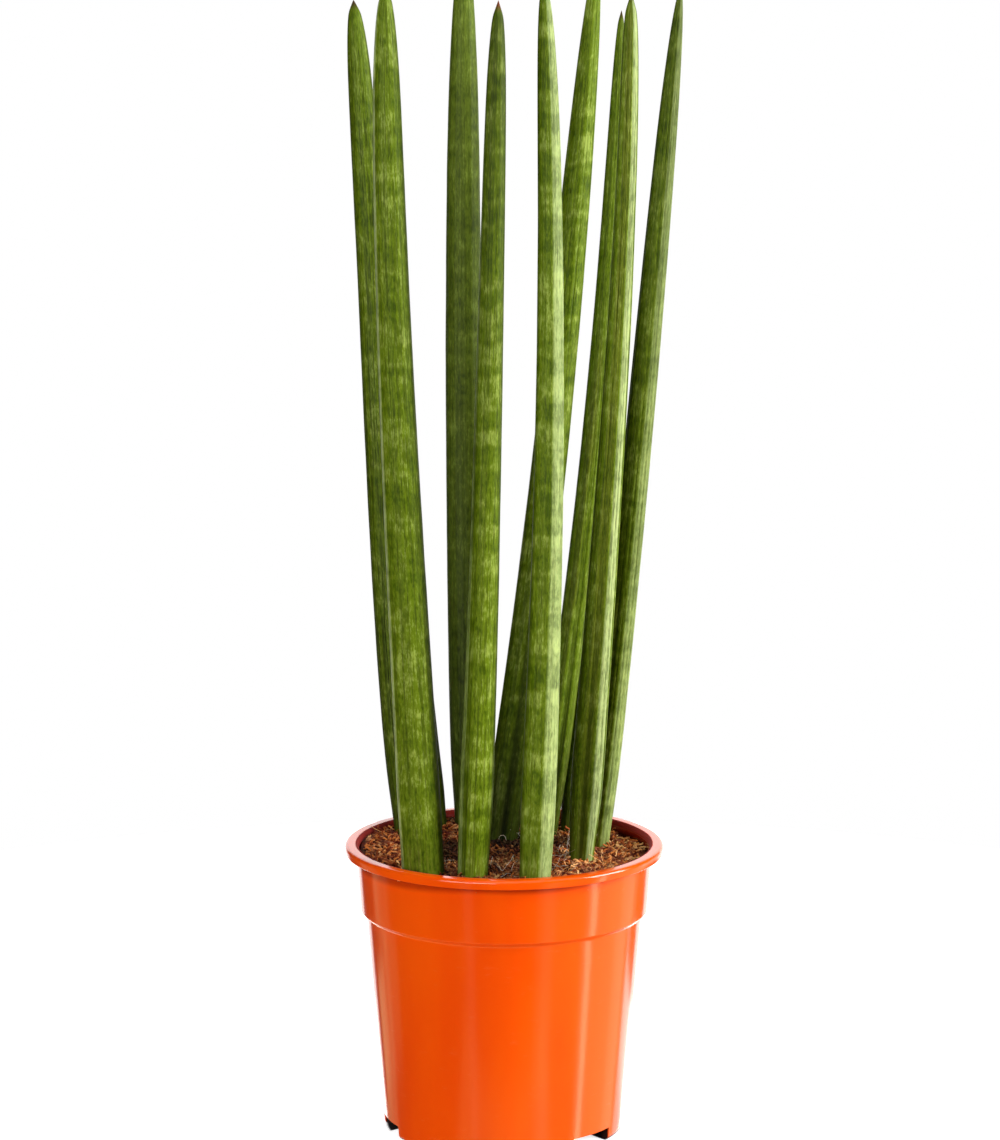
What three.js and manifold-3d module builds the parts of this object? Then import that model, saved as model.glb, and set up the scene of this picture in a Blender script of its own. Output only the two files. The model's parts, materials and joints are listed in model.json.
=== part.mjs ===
// Cylindrical snake plant: eleven upright, pointed, ridged leaves, each rooted by itself in coir
// potting mix, in an orange injection-moulded nursery pot of 170 mm across the lip.
//
// Millimetres, +Z up. The origin is on the surface that the pot stands on, on the pot's axis.
// -Y is the front of the plant and +X its right-hand side.

import * as THREE from 'three';
import { mergeVertices } from 'three/addons/utils/BufferGeometryUtils.js';
import Module from 'manifold-3d';

const wasm = await Module();
wasm.setup();

// ---------------------------------------------------------------- driving dimensions

const CLEARANCE = 0.3; // gap between neighbouring pieces

const POT = {
  height: 155,
  segments: 48,
  wall: 1.4,
  lipRadius: 85,
  lipMouthRadius: 79.3, // where the flat of the lip turns down into the pot
  lipDepth: 5,
  lipThickness: 1.8,
  lipRound: 1.8,
  collarTopRadius: 78.9,
  collarFootRadius: 76.8,
  stepTop: 119.2, // the collar ends here and the wall steps in
  stepFoot: 117.2,
  bodyTopRadius: 73.6,
  bodyFootRadius: 64.5,
  cornerRound: 2.4,
  floorUnderside: 6.5,
  floorThickness: 2,
  footRingWidth: 4.2,
};

const DRAIN = {
  count: 6,
  firstAngle: -43, // degrees from +X
  notchWidth: 28,
  notchHeight: 7,
  holeRadius: 4.5,
  holePitchRadius: 52,
};

const SOIL = {
  level: 149, // mean height of the surface
  segments: 48,
  rings: 7,
  rise: 1.1, // half height of the bumps
  slopeX: -0.035, // lower on the right
  slopeY: 0.018, // higher at the back
  chips: 90,
  chipLength: [5, 11],
  chipWidth: [2.4, 4.6],
  chipThickness: [1.8, 3],
  chipReach: 71, // chips keep inside this radius
};

const LEAF = {
  sides: 24, // 12 ridges with a groove between each two
  bands: 12,
  grooveDepth: 0.35,
  buried: 22, // how far the butt goes down into the soil
  buttShoulder: 3,
  buttTaper: 0.7,
  waist: 0.86, // a leaf is this much narrower where it leaves the soil
  waistReach: 0.06, // of its length
  furrowDepth: 0.24, // of the leaf's radius, at the foot
  furrowHalfWidth: 20, // degrees
  furrowReach: 0.42, // of its length
};

// Each leaf goes from its foot, on the soil, to its tip. `bow` is how far its middle stands off
// the straight line between them, and `sway` how far it swings to the right below its middle and
// to the left above it. `radius` is the full radius low on the leaf, `taper` the share of it lost
// towards the tip, and a higher `point` keeps the leaf stout for longer before it closes.
// `furrow` is the direction, in degrees from +X, that its shallow channel faces.
const LEAVES = [
  {
    name: 'leaf_left_back', foot: [-51.5, 33], tip: [-79.5, 48, 599.5], bow: [-1.5, 1],
    sway: -1.5, radius: 9, taper: 0.2, point: 14, furrow: -60, color: 0x5f8a22,
  },
  {
    name: 'leaf_left_front', foot: [-42.5, -45], tip: [-59.5, -62, 608.5], bow: [-2.7, -3],
    sway: 0.4, radius: 12, taper: 0.42, point: 15, waist: 0.95, furrow: 160, color: 0x6a9530,
  },
  {
    name: 'leaf_left_short', foot: [-37.5, 51], tip: [-55, 61, 385], bow: [-2.5, 1],
    sway: 0, radius: 7.4, taper: 0.35, point: 9, furrow: -90, color: 0x4a6b22,
  },
  {
    name: 'leaf_centre_back', foot: [-18, 56], tip: [-21.5, 74, 629], bow: [-2, 3],
    sway: -0.2, radius: 10.5, taper: 0.1, point: 6, furrow: 80, color: 0x56783a,
  },
  {
    name: 'leaf_centre_front', foot: [-16.5, -50], tip: [-3, -66, 601.5], bow: [1.2, -2],
    sway: 0.3, radius: 9.4, taper: 0.47, point: 18, furrow: -140, color: 0x67922e,
  },
  {
    name: 'leaf_middle_front', foot: [16, -52], tip: [20, -40, 610], bow: [5, -3],
    sway: -0.4, radius: 9.6, taper: 0.45, point: 15, furrow: 120, color: 0x75a03a,
  },
  {
    name: 'leaf_middle_back', foot: [-2, 28], tip: [49, 42, 624], bow: [4, 2],
    sway: 0.5, radius: 11, taper: 0.3, point: 5, furrow: -92, color: 0x5a8028,
  },
  {
    name: 'leaf_right_back', foot: [22, 42], tip: [62, 50, 594], bow: [6, 1],
    sway: 0, radius: 7.2, taper: 0.5, point: 12, furrow: -75, color: 0x5d7d28,
  },
  {
    name: 'leaf_right_short', foot: [37, 50], tip: [56, 57, 385], bow: [2, 1],
    sway: 0, radius: 6.6, taper: 0.35, point: 9, furrow: -90, color: 0x48661f,
  },
  {
    name: 'leaf_right_front', foot: [41, -10], tip: [64.5, -26, 605], bow: [3.5, -1],
    sway: -0.7, radius: 9.2, taper: 0.53, point: 25, waist: 0.72, furrow: -100, color: 0x688f30,
  },
  {
    name: 'leaf_far_right', foot: [49.5, 22], tip: [90, -18, 606.5], bow: [1.2, -2],
    sway: 0.4, radius: 8.2, taper: 0.19, point: 5, furrow: -112, color: 0x618a2c,
  },
];

const COLORS = { pot: 0xf0560c, soil: 0x7a4a30 };

// ---------------------------------------------------------------- helpers

const radians = THREE.MathUtils.degToRad;
const lerp = THREE.MathUtils.lerp;
const SWAY_PEAK = 6 * Math.sqrt(3); // makes t (1 - t) (1 - 2 t) reach 1 at its highest

/** A repeatable stream of numbers from 0 to 1. */
function seededRandom(seed) {
  let state = seed;
  return () => {
    state = (state + 0x6d2b79f5) | 0;
    let t = Math.imul(state ^ (state >>> 15), 1 | state);
    t = (t + Math.imul(t ^ (t >>> 7), 61 | t)) ^ t;
    return ((t ^ (t >>> 14)) >>> 0) / 4294967296;
  };
}

/** Turns a closed geometry into a solid, whichever way round its faces were listed. */
function toSolid(geometry) {
  const bare = geometry.clone();
  bare.deleteAttribute('normal');
  bare.deleteAttribute('uv');
  const merged = mergeVertices(bare, 1e-4);
  const vertProperties = new Float32Array(merged.attributes.position.array);
  const triVerts = keepRealTriangles(merged.index.array);
  if (signedVolume(vertProperties, triVerts) < 0) {
    triVerts.reverse();
  }
  return new wasm.Manifold(new wasm.Mesh({ numProp: 3, vertProperties, triVerts }));
}

/** Drops triangles that lost an edge when their corners were merged. */
function keepRealTriangles(index) {
  const kept = [];
  for (let i = 0; i < index.length; i += 3) {
    const [a, b, c] = [index[i], index[i + 1], index[i + 2]];
    if (a !== b && b !== c && c !== a) {
      kept.push(a, b, c);
    }
  }
  return new Uint32Array(kept);
}

/** Six times the volume inside the triangles, positive when they face outwards. */
function signedVolume(positions, triangles) {
  const corner = (i) => new THREE.Vector3().fromArray(positions, 3 * triangles[i]);
  let sum = 0;
  for (let i = 0; i < triangles.length; i += 3) {
    sum += corner(i).dot(corner(i + 1).cross(corner(i + 2)));
  }
  return sum;
}

/** Turns a solid back into a geometry with flat faces. */
function toGeometry(solid) {
  const mesh = solid.getMesh();
  const geometry = new THREE.BufferGeometry();
  const positions = new Float32Array(mesh.vertProperties);
  geometry.setAttribute('position', new THREE.BufferAttribute(positions, 3));
  geometry.setIndex(new THREE.BufferAttribute(new Uint32Array(mesh.triVerts), 1));
  geometry.computeVertexNormals();
  return geometry;
}

/** Joins rings of points, all of one length, into a closed skin with a point at either end. */
function skinRings(rings, bottom, top) {
  const sides = rings[0].length;
  const points = [...rings.flat(), bottom, top];
  const bottomIndex = rings.length * sides;
  const topIndex = bottomIndex + 1;
  const index = [];
  for (let side = 0; side < sides; side += 1) {
    const next = (side + 1) % sides;
    index.push(bottomIndex, next, side);
    for (let ring = 0; ring < rings.length - 1; ring += 1) {
      const low = ring * sides;
      const high = low + sides;
      index.push(low + side, low + next, high + next);
      index.push(low + side, high + next, high + side);
    }
    const last = (rings.length - 1) * sides;
    index.push(topIndex, last + side, last + next);
  }
  const geometry = new THREE.BufferGeometry().setFromPoints(points);
  geometry.setIndex(index);
  geometry.computeVertexNormals();
  return geometry;
}

/** Points of a ring of `sides` points, at radius(angle) round (x, y, height(px, py)). */
function ringPoints(sides, x, y, radius, height) {
  const points = [];
  for (let side = 0; side < sides; side += 1) {
    const angle = (2 * Math.PI * side) / sides;
    const px = x + radius(angle, side) * Math.cos(angle);
    const py = y + radius(angle, side) * Math.sin(angle);
    points.push(new THREE.Vector3(px, py, height(px, py)));
  }
  return points;
}

/** Points on a quarter or other arc of a lathe profile, from one angle to another. */
function arc(centreX, centreY, radius, fromDegrees, toDegrees, steps) {
  const points = [];
  for (let i = 0; i <= steps; i += 1) {
    const angle = radians(lerp(fromDegrees, toDegrees, i / steps));
    points.push(new THREE.Vector2(
      centreX + radius * Math.cos(angle),
      centreY + radius * Math.sin(angle),
    ));
  }
  return points;
}

/** A named mesh with a plain material of its own. */
function makeMesh(name, geometry, color, roughness) {
  const material = new THREE.MeshStandardMaterial({ color, roughness, metalness: 0 });
  const mesh = new THREE.Mesh(geometry, material);
  mesh.name = name;
  return mesh;
}

// ---------------------------------------------------------------- pot

/** Radius of the pot's wall on its inside, at a height above the floor. */
function innerRadius(z) {
  const { stepTop, stepFoot, wall } = POT;
  if (z >= stepTop) {
    const up = (z - stepTop) / (POT.height - POT.lipDepth - stepTop);
    return lerp(POT.collarFootRadius, POT.collarTopRadius, up) - wall;
  }
  const bodyInner = POT.bodyTopRadius - wall;
  if (z >= stepFoot) {
    const up = (z - stepFoot) / (stepTop - stepFoot);
    return lerp(bodyInner, POT.collarFootRadius - wall, up);
  }
  return lerp(POT.bodyFootRadius - wall, bodyInner, z / stepFoot);
}

/** Section of the pot, from the middle of its underside round the lip to the middle inside. */
function potProfile() {
  const { height, wall, lipRadius, lipThickness, lipDepth, lipRound, cornerRound } = POT;
  const floorTop = POT.floorUnderside + POT.floorThickness;
  const footInner = POT.bodyFootRadius - POT.footRingWidth;
  const lipUnder = height - lipThickness;
  const skirtInner = lipRadius - lipThickness;
  const skirtFoot = height - lipDepth;
  const point = (x, y) => new THREE.Vector2(x, y);
  return [
    point(0, POT.floorUnderside),
    point(footInner - 0.4, POT.floorUnderside),
    point(footInner - 0.2, 0),
    ...arc(POT.bodyFootRadius - cornerRound, cornerRound, cornerRound, -90, 0, 3),
    point(POT.bodyTopRadius, POT.stepFoot),
    point(POT.bodyTopRadius + 0.7, POT.stepFoot + 0.7),
    point(POT.collarFootRadius - 0.7, POT.stepTop - 0.7),
    point(POT.collarFootRadius, POT.stepTop + 0.4),
    point(POT.collarTopRadius, skirtFoot),
    point(POT.collarTopRadius + 0.9, lipUnder - 0.7),
    point(skirtInner, lipUnder - 0.4),
    point(skirtInner, skirtFoot),
    point(lipRadius - 0.5, skirtFoot),
    ...arc(lipRadius - lipRound, height - lipRound, lipRound, 0, 90, 3),
    point(POT.lipMouthRadius, height),
    point(POT.lipMouthRadius - 1, height - 0.4),
    point(POT.collarTopRadius - wall + 0.2, height - 1.6),
    point(POT.collarTopRadius - wall, skirtFoot - 1.5),
    point(POT.collarFootRadius - wall, POT.stepTop),
    point(POT.bodyTopRadius - wall, POT.stepFoot),
    point(innerRadius(floorTop + 1.2), floorTop + 1.2),
    point(innerRadius(floorTop) - 1.2, floorTop),
    point(0, floorTop),
  ];
}

/** Boxes for the notches in the foot ring and drums for the holes in the floor. */
function drainCutters() {
  const cutters = [];
  const depth = 12;
  for (let i = 0; i < DRAIN.count; i += 1) {
    const angle = radians(DRAIN.firstAngle + (360 * i) / DRAIN.count);
    const notch = new THREE.BoxGeometry(depth, DRAIN.notchWidth, 2 * DRAIN.notchHeight);
    notch.translate(POT.bodyFootRadius, 0, 0);
    notch.rotateZ(angle);
    const hole = new THREE.CylinderGeometry(DRAIN.holeRadius, DRAIN.holeRadius, 30, 12);
    hole.rotateX(Math.PI / 2);
    hole.translate(DRAIN.holePitchRadius, 0, 0);
    hole.rotateZ(angle);
    cutters.push(toSolid(notch), toSolid(hole));
  }
  return cutters;
}

function buildPot() {
  const shell = new THREE.LatheGeometry(potProfile(), POT.segments);
  shell.rotateX(Math.PI / 2);
  let solid = toSolid(shell);
  for (const cutter of drainCutters()) {
    solid = solid.subtract(cutter);
  }
  return makeMesh('pot', toGeometry(solid), COLORS.pot, 0.35);
}

// ---------------------------------------------------------------- leaves

/** Height at which a leaf's foot leaves the soil. */
function footHeight(leaf) {
  return soilHeight(leaf.foot[0], leaf.foot[1]);
}

/** Point on a leaf's middle line; t is 0 at the soil, 1 at the tip and below 0 underground. */
function leafCentre(leaf, t) {
  const off = 4 * t * (1 - t);
  const swing = SWAY_PEAK * t * (1 - t) * (1 - 2 * t);
  return new THREE.Vector3(
    lerp(leaf.foot[0], leaf.tip[0], t) + leaf.bow[0] * off + leaf.sway * swing,
    lerp(leaf.foot[1], leaf.tip[1], t) + leaf.bow[1] * off,
    lerp(footHeight(leaf), leaf.tip[2], t),
  );
}

/** Radius over the ridges of a leaf at t. */
function leafRadius(leaf, t) {
  const up = Math.max(t, 0);
  const waist = leaf.waist ?? LEAF.waist;
  const narrowing = 1 - (1 - waist) * Math.exp(-((up / LEAF.waistReach) ** 2));
  return leaf.radius * (1 - leaf.taper * up) * Math.sqrt(1 - up ** leaf.point) * narrowing;
}

/** Share of the radius that the shallow channel takes away at an angle round the leaf. */
function furrow(leaf, t, angle) {
  const turn = angle - radians(leaf.furrow);
  const away = Math.atan2(Math.sin(turn), Math.cos(turn)) / radians(LEAF.furrowHalfWidth);
  const fade = Math.exp(-((Math.max(t, 0) / LEAF.furrowReach) ** 2));
  return LEAF.furrowDepth * Math.exp(-(away ** 2)) * fade;
}

function buildLeaf(leaf) {
  const length = leaf.tip[2] - footHeight(leaf);
  const rings = [];
  const addRing = (t, size) => {
    const centre = leafCentre(leaf, t);
    const ridgeRadius = leafRadius(leaf, t) * size;
    const groove = Math.min(LEAF.grooveDepth, 0.12 * ridgeRadius);
    const radius = (angle, side) => (
      (ridgeRadius - (side % 2) * groove) * (1 - furrow(leaf, t, angle))
    );
    rings.push(ringPoints(LEAF.sides, centre.x, centre.y, radius, () => centre.z));
  };
  addRing(-LEAF.buried / length, LEAF.buttTaper);
  addRing((LEAF.buttShoulder - LEAF.buried) / length, 1);
  for (let band = 0; band < LEAF.bands; band += 1) {
    addRing((1 - Math.cos((Math.PI * band) / LEAF.bands)) / 2, 1);
  }
  const butt = leafCentre(leaf, -LEAF.buried / length);
  const geometry = skinRings(rings, butt, leafCentre(leaf, 1));
  return makeMesh(leaf.name, geometry, leaf.color, 0.42);
}

// ---------------------------------------------------------------- soil

/** Height of the soil's surface, with a gentle slope and soft bumps. */
function soilHeight(x, y) {
  const bumps = Math.sin(x / 7.3 + 1.1) * Math.cos(y / 6.1 - 0.4) + Math.sin((x + y) / 11.7);
  return SOIL.level + SOIL.slopeX * x + SOIL.slopeY * y + SOIL.rise * 0.5 * bumps;
}

/** The mix as it fills the pot, before chips and holes. */
function soilBody() {
  const floorTop = POT.floorUnderside + POT.floorThickness + CLEARANCE;
  const flatCos = Math.cos(Math.PI / SOIL.segments);
  const fit = (z) => (innerRadius(z) - CLEARANCE / flatCos);
  const ringAt = (radius, z) => ringPoints(SOIL.segments, 0, 0, () => radius, () => z);
  const rings = [
    ringAt(fit(floorTop) - 1.8, floorTop),
    ringAt(fit(floorTop + 2) - 0.2, floorTop + 2),
    ringAt(fit(POT.stepFoot), POT.stepFoot),
    ringAt(fit(POT.stepTop), POT.stepTop),
  ];
  const edge = fit(SOIL.level - 5);
  for (let ring = 0; ring < SOIL.rings; ring += 1) {
    const radius = edge * (1 - ring / SOIL.rings);
    rings.push(ringPoints(SOIL.segments, 0, 0, () => radius, soilHeight));
  }
  const bottom = new THREE.Vector3(0, 0, floorTop);
  const top = new THREE.Vector3(0, 0, soilHeight(0, 0));
  return toSolid(skinRings(rings, bottom, top));
}

/** Chips of coir husk, lying at all angles and half sunk into the surface. */
function soilChips() {
  const random = seededRandom(41);
  const between = (range) => lerp(range[0], range[1], random());
  const chips = [];
  for (let i = 0; i < SOIL.chips; i += 1) {
    const angle = 2 * Math.PI * random();
    const reach = SOIL.chipReach * Math.sqrt(random());
    const chip = new THREE.OctahedronGeometry(1, 0);
    chip.scale(
      between(SOIL.chipLength) / 2,
      between(SOIL.chipWidth) / 2,
      between(SOIL.chipThickness) / 2,
    );
    chip.rotateX(lerp(-0.5, 0.5, random()));
    chip.rotateY(lerp(-0.45, 0.45, random()));
    chip.rotateZ(Math.PI * random());
    const x = reach * Math.cos(angle);
    const y = reach * Math.sin(angle);
    chip.translate(x, y, soilHeight(x, y) + lerp(-0.3, 0.7, random()));
    chips.push(toSolid(chip));
  }
  return chips;
}

/** The plain round hole that a leaf stands in. */
function leafHole(leaf) {
  const sides = 16;
  const length = leaf.tip[2] - footHeight(leaf);
  const roundToFlat = 1 / Math.cos(Math.PI / sides);
  const spots = [
    [-LEAF.buried - CLEARANCE, LEAF.buttTaper],
    [LEAF.buttShoulder - LEAF.buried - CLEARANCE, 1],
    [0, 1],
    [LEAF.waistReach * length * 0.5, 1],
  ];
  const rings = spots.map(([drop, size]) => {
    const t = drop / length;
    const centre = leafCentre(leaf, t);
    const radius = (leafRadius(leaf, t) * size + CLEARANCE) * roundToFlat;
    return ringPoints(sides, centre.x, centre.y, () => radius, () => centre.z);
  });
  const bottom = leafCentre(leaf, spots[0][0] / length);
  const top = leafCentre(leaf, spots[spots.length - 1][0] / length);
  return toSolid(skinRings(rings, bottom, top));
}

function buildSoil() {
  let solid = soilBody();
  for (const chip of soilChips()) {
    solid = solid.add(chip);
  }
  for (const leaf of LEAVES) {
    solid = solid.subtract(leafHole(leaf));
  }
  return makeMesh('soil', toGeometry(solid), COLORS.soil, 0.95);
}

// ---------------------------------------------------------------- assembly

const plant = new THREE.Group();
plant.add(buildPot());
plant.add(buildSoil());
for (const leaf of LEAVES) {
  plant.add(buildLeaf(leaf));
}

export default plant;
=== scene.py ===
"""Looks of the cylindrical snake plant in its orange nursery pot.

The packed model is the frame: metres, +Z up, the origin under the pot on its axis, -Y the front.
Each sub-assembly is a class with its sizes, the methods that build it and the one that dresses it.
"""

import json
import logging
import math
from collections.abc import Callable
from dataclasses import dataclass, field
from enum import Enum

import bmesh
import bpy
from mathutils import Matrix, Vector, noise

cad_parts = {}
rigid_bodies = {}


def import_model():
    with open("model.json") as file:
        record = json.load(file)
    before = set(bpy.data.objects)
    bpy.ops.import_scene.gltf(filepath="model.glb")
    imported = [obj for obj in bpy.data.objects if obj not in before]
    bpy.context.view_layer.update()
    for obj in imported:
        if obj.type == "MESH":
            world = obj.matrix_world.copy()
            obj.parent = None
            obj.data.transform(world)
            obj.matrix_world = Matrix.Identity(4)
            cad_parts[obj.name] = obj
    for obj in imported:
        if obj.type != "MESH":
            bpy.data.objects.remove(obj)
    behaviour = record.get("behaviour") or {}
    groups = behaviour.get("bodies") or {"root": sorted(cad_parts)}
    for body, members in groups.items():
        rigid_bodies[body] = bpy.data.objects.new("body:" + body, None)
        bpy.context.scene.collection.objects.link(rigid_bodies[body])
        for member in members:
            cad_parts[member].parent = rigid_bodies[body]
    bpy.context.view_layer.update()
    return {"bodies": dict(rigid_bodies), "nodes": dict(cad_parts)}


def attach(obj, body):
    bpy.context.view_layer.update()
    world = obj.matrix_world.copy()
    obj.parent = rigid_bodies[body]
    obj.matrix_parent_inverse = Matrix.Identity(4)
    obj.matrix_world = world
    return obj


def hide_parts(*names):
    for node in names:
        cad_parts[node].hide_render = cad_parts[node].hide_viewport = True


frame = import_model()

MM = 0.001
TURN = 2.0 * math.pi

log = logging.getLogger("snake_plant")

Colour = tuple[float, float, float, float]
Point = tuple[float, float, float]


def srgb(red: int, green: int, blue: int) -> Colour:
    """Turns a colour of 0 to 255 a channel into the linear colour that a shader works in.

    Args:
        red: Red from 0 to 255.
        green: Green from 0 to 255.
        blue: Blue from 0 to 255.

    Returns:
        The linear colour, opaque.
    """
    def linear(channel: int) -> float:
        """One channel, made linear."""
        share = channel / 255.0
        return share / 12.92 if share <= 0.04045 else ((share + 0.055) / 1.055) ** 2.4

    return (linear(red), linear(green), linear(blue), 1.0)


# ---------------------------------------------------------------- node trees as expressions


class Graph:
    """A node tree that is being built, for a material or for geometry."""

    MIX_FIRST, MIX_SECOND, MIX_RESULT = 6, 7, 2

    def __init__(self, tree: bpy.types.NodeTree) -> None:
        """Wraps a tree.

        Args:
            tree: The node tree to add nodes to.
        """
        self.tree = tree

    def node(
        self,
        kind: str,
        settings: dict[str, object] | None = None,
        inputs: dict[str | int, object] | None = None,
    ) -> bpy.types.Node:
        """Adds one node.

        Args:
            kind: The node's type name.
            settings: Its own settings, set first.
            inputs: Values or links of its sockets, by name or by number.

        Returns:
            The new node.
        """
        made = self.tree.nodes.new(kind)
        for name, value in (settings or {}).items():
            setattr(made, name, value)
        for key, value in (inputs or {}).items():
            self.feed(made.inputs[key], value)
        return made

    def feed(self, socket: bpy.types.NodeSocket, value: object) -> None:
        """Links something to a socket, or sets the socket's own value.

        Args:
            socket: The input socket.
            value: A wire, a socket, a node for its first output, or a plain value.
        """
        if isinstance(value, bpy.types.Node):
            value = value.outputs[0]
        elif isinstance(value, Wire):
            value = value.socket
        if isinstance(value, bpy.types.NodeSocket):
            self.tree.links.new(value, socket)
        else:
            socket.default_value = value

    def num(self, node: bpy.types.Node, output: str | int = 0) -> "Num":
        """A node's output as a number wire."""
        return Num(self, node.outputs[output])

    def vec(self, node: bpy.types.Node, output: str | int = 0) -> "Vec":
        """A node's output as a vector wire."""
        return Vec(self, node.outputs[output])

    def join(self, x: object, y: object, z: object) -> "Vec":
        """A vector made of three numbers."""
        return self.vec(self.node("ShaderNodeCombineXYZ", inputs={0: x, 1: y, 2: z}))

    def noise(
        self, place: "Vec", scale: float, detail: float = 2.0, roughness: float = 0.5
    ) -> "Num":
        """Noise from 0 to 1 over a vector.

        Args:
            place: Where the noise is read.
            scale: Its waves per unit.
            detail: How many finer octaves it has.
            roughness: How strong the finer octaves are.

        Returns:
            The noise as a number.
        """
        sockets = {"Vector": place, "Scale": scale, "Detail": detail, "Roughness": roughness}
        return self.num(self.node("ShaderNodeTexNoise", inputs=sockets))

    def mix(self, factor: object, first: object, second: object) -> "Vec":
        """A blend of two colours.

        Args:
            factor: Share of the second colour.
            first: The first colour.
            second: The second colour.

        Returns:
            The blended colour.
        """
        settings = {"data_type": "RGBA", "clamp_factor": True}
        inputs = {0: factor, self.MIX_FIRST: first, self.MIX_SECOND: second}
        return self.vec(self.node("ShaderNodeMix", settings, inputs), self.MIX_RESULT)


class Wire:
    """An output socket of a graph."""

    NODE: str

    def __init__(self, graph: Graph, socket: bpy.types.NodeSocket) -> None:
        """Wraps a socket.

        Args:
            graph: The graph that the socket is in.
            socket: The output socket.
        """
        self.graph = graph
        self.socket = socket


def maths(operation: str, about: str, swapped: bool = False) -> Callable[..., Wire]:
    """A method of Num or Vec that adds one maths node.

    Args:
        operation: The node's operation.
        about: The method's docstring.
        swapped: Whether self comes last, as in a reflected operator.

    Returns:
        The method.
    """
    def method(self: Wire, *others: object) -> Wire:
        """Adds the node.

        Args:
            others: The other operands.

        Returns:
            Its result, of the same kind as self.
        """
        inputs = dict(enumerate((*others, self) if swapped else (self, *others)))
        made = self.graph.node(self.NODE, {"operation": operation}, inputs)
        return type(self)(self.graph, made.outputs[0])

    method.__doc__ = about
    return method


class Num(Wire):
    """A number in a graph, with Python's arithmetic."""

    NODE = "ShaderNodeMath"

    __add__ = __radd__ = maths("ADD", "self + other.")
    __mul__ = __rmul__ = maths("MULTIPLY", "self * other.")
    __sub__ = maths("SUBTRACT", "self - other.")
    __rsub__ = maths("SUBTRACT", "other - self.", swapped=True)
    __truediv__ = maths("DIVIDE", "self / other.")
    __rtruediv__ = maths("DIVIDE", "other / self.", swapped=True)
    __pow__ = maths("POWER", "self to the power of other.")
    __abs__ = maths("ABSOLUTE", "Size of self without its sign.")
    sin = maths("SINE", "Sine of self in radians.")
    cos = maths("COSINE", "Cosine of self in radians.")
    exp = maths("EXPONENT", "e to the power of self.")
    atan2 = maths("ARCTAN2", "Angle of the point (other, self).")
    floor = maths("FLOOR", "The whole number at or under self.")
    at_least = maths("MAXIMUM", "The larger of self and other.")
    at_most = maths("MINIMUM", "The smaller of self and other.")
    soft_min = maths("SMOOTH_MIN", "The smaller of self and other, with a corner of the width given.")

    def __neg__(self) -> "Num":
        """Minus self."""
        return self * -1.0

    def ramp(
        self, low: float, high: float, start: float = 0.0, end: float = 1.0, soft: bool = True
    ) -> "Num":
        """Maps a stretch of values to another, held at both ends.

        Args:
            low: Value that gives start.
            high: Value that gives end.
            start: Result at low and beyond.
            end: Result at high and beyond.
            soft: Whether the change eases in and out.

        Returns:
            The mapped number.
        """
        kind = "SMOOTHSTEP" if soft else "LINEAR"
        inputs = dict(enumerate((self, low, high, start, end)))
        made = self.graph.node("ShaderNodeMapRange", {"interpolation_type": kind}, inputs)
        return self.graph.num(made)


class Vec(Wire):
    """A vector in a graph."""

    NODE = "ShaderNodeVectorMath"

    __add__ = maths("ADD", "self + other.")
    __sub__ = maths("SUBTRACT", "self - other.")
    __mul__ = maths("MULTIPLY", "self times other, part by part.")

    def scaled(self, factor: object) -> "Vec":
        """self times a number."""
        inputs = {0: self, "Scale": factor}
        return self.graph.vec(self.graph.node(self.NODE, {"operation": "SCALE"}, inputs))

    def length(self) -> Num:
        """Length of self."""
        made = self.graph.node(self.NODE, {"operation": "LENGTH"}, {0: self})
        return self.graph.num(made, "Value")

    def parts(self) -> tuple[Num, Num, Num]:
        """The three parts of self."""
        made = self.graph.node("ShaderNodeSeparateXYZ", inputs={0: self})
        return tuple(self.graph.num(made, part) for part in range(3))


class Kind(Enum):
    """Kinds of input that a geometry tree can have."""

    NUMBER = "NodeSocketFloat"
    COUNT = "NodeSocketInt"
    PLACE = "NodeSocketVector"
    MATERIAL = "NodeSocketMaterial"
    OBJECT = "NodeSocketObject"


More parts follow.
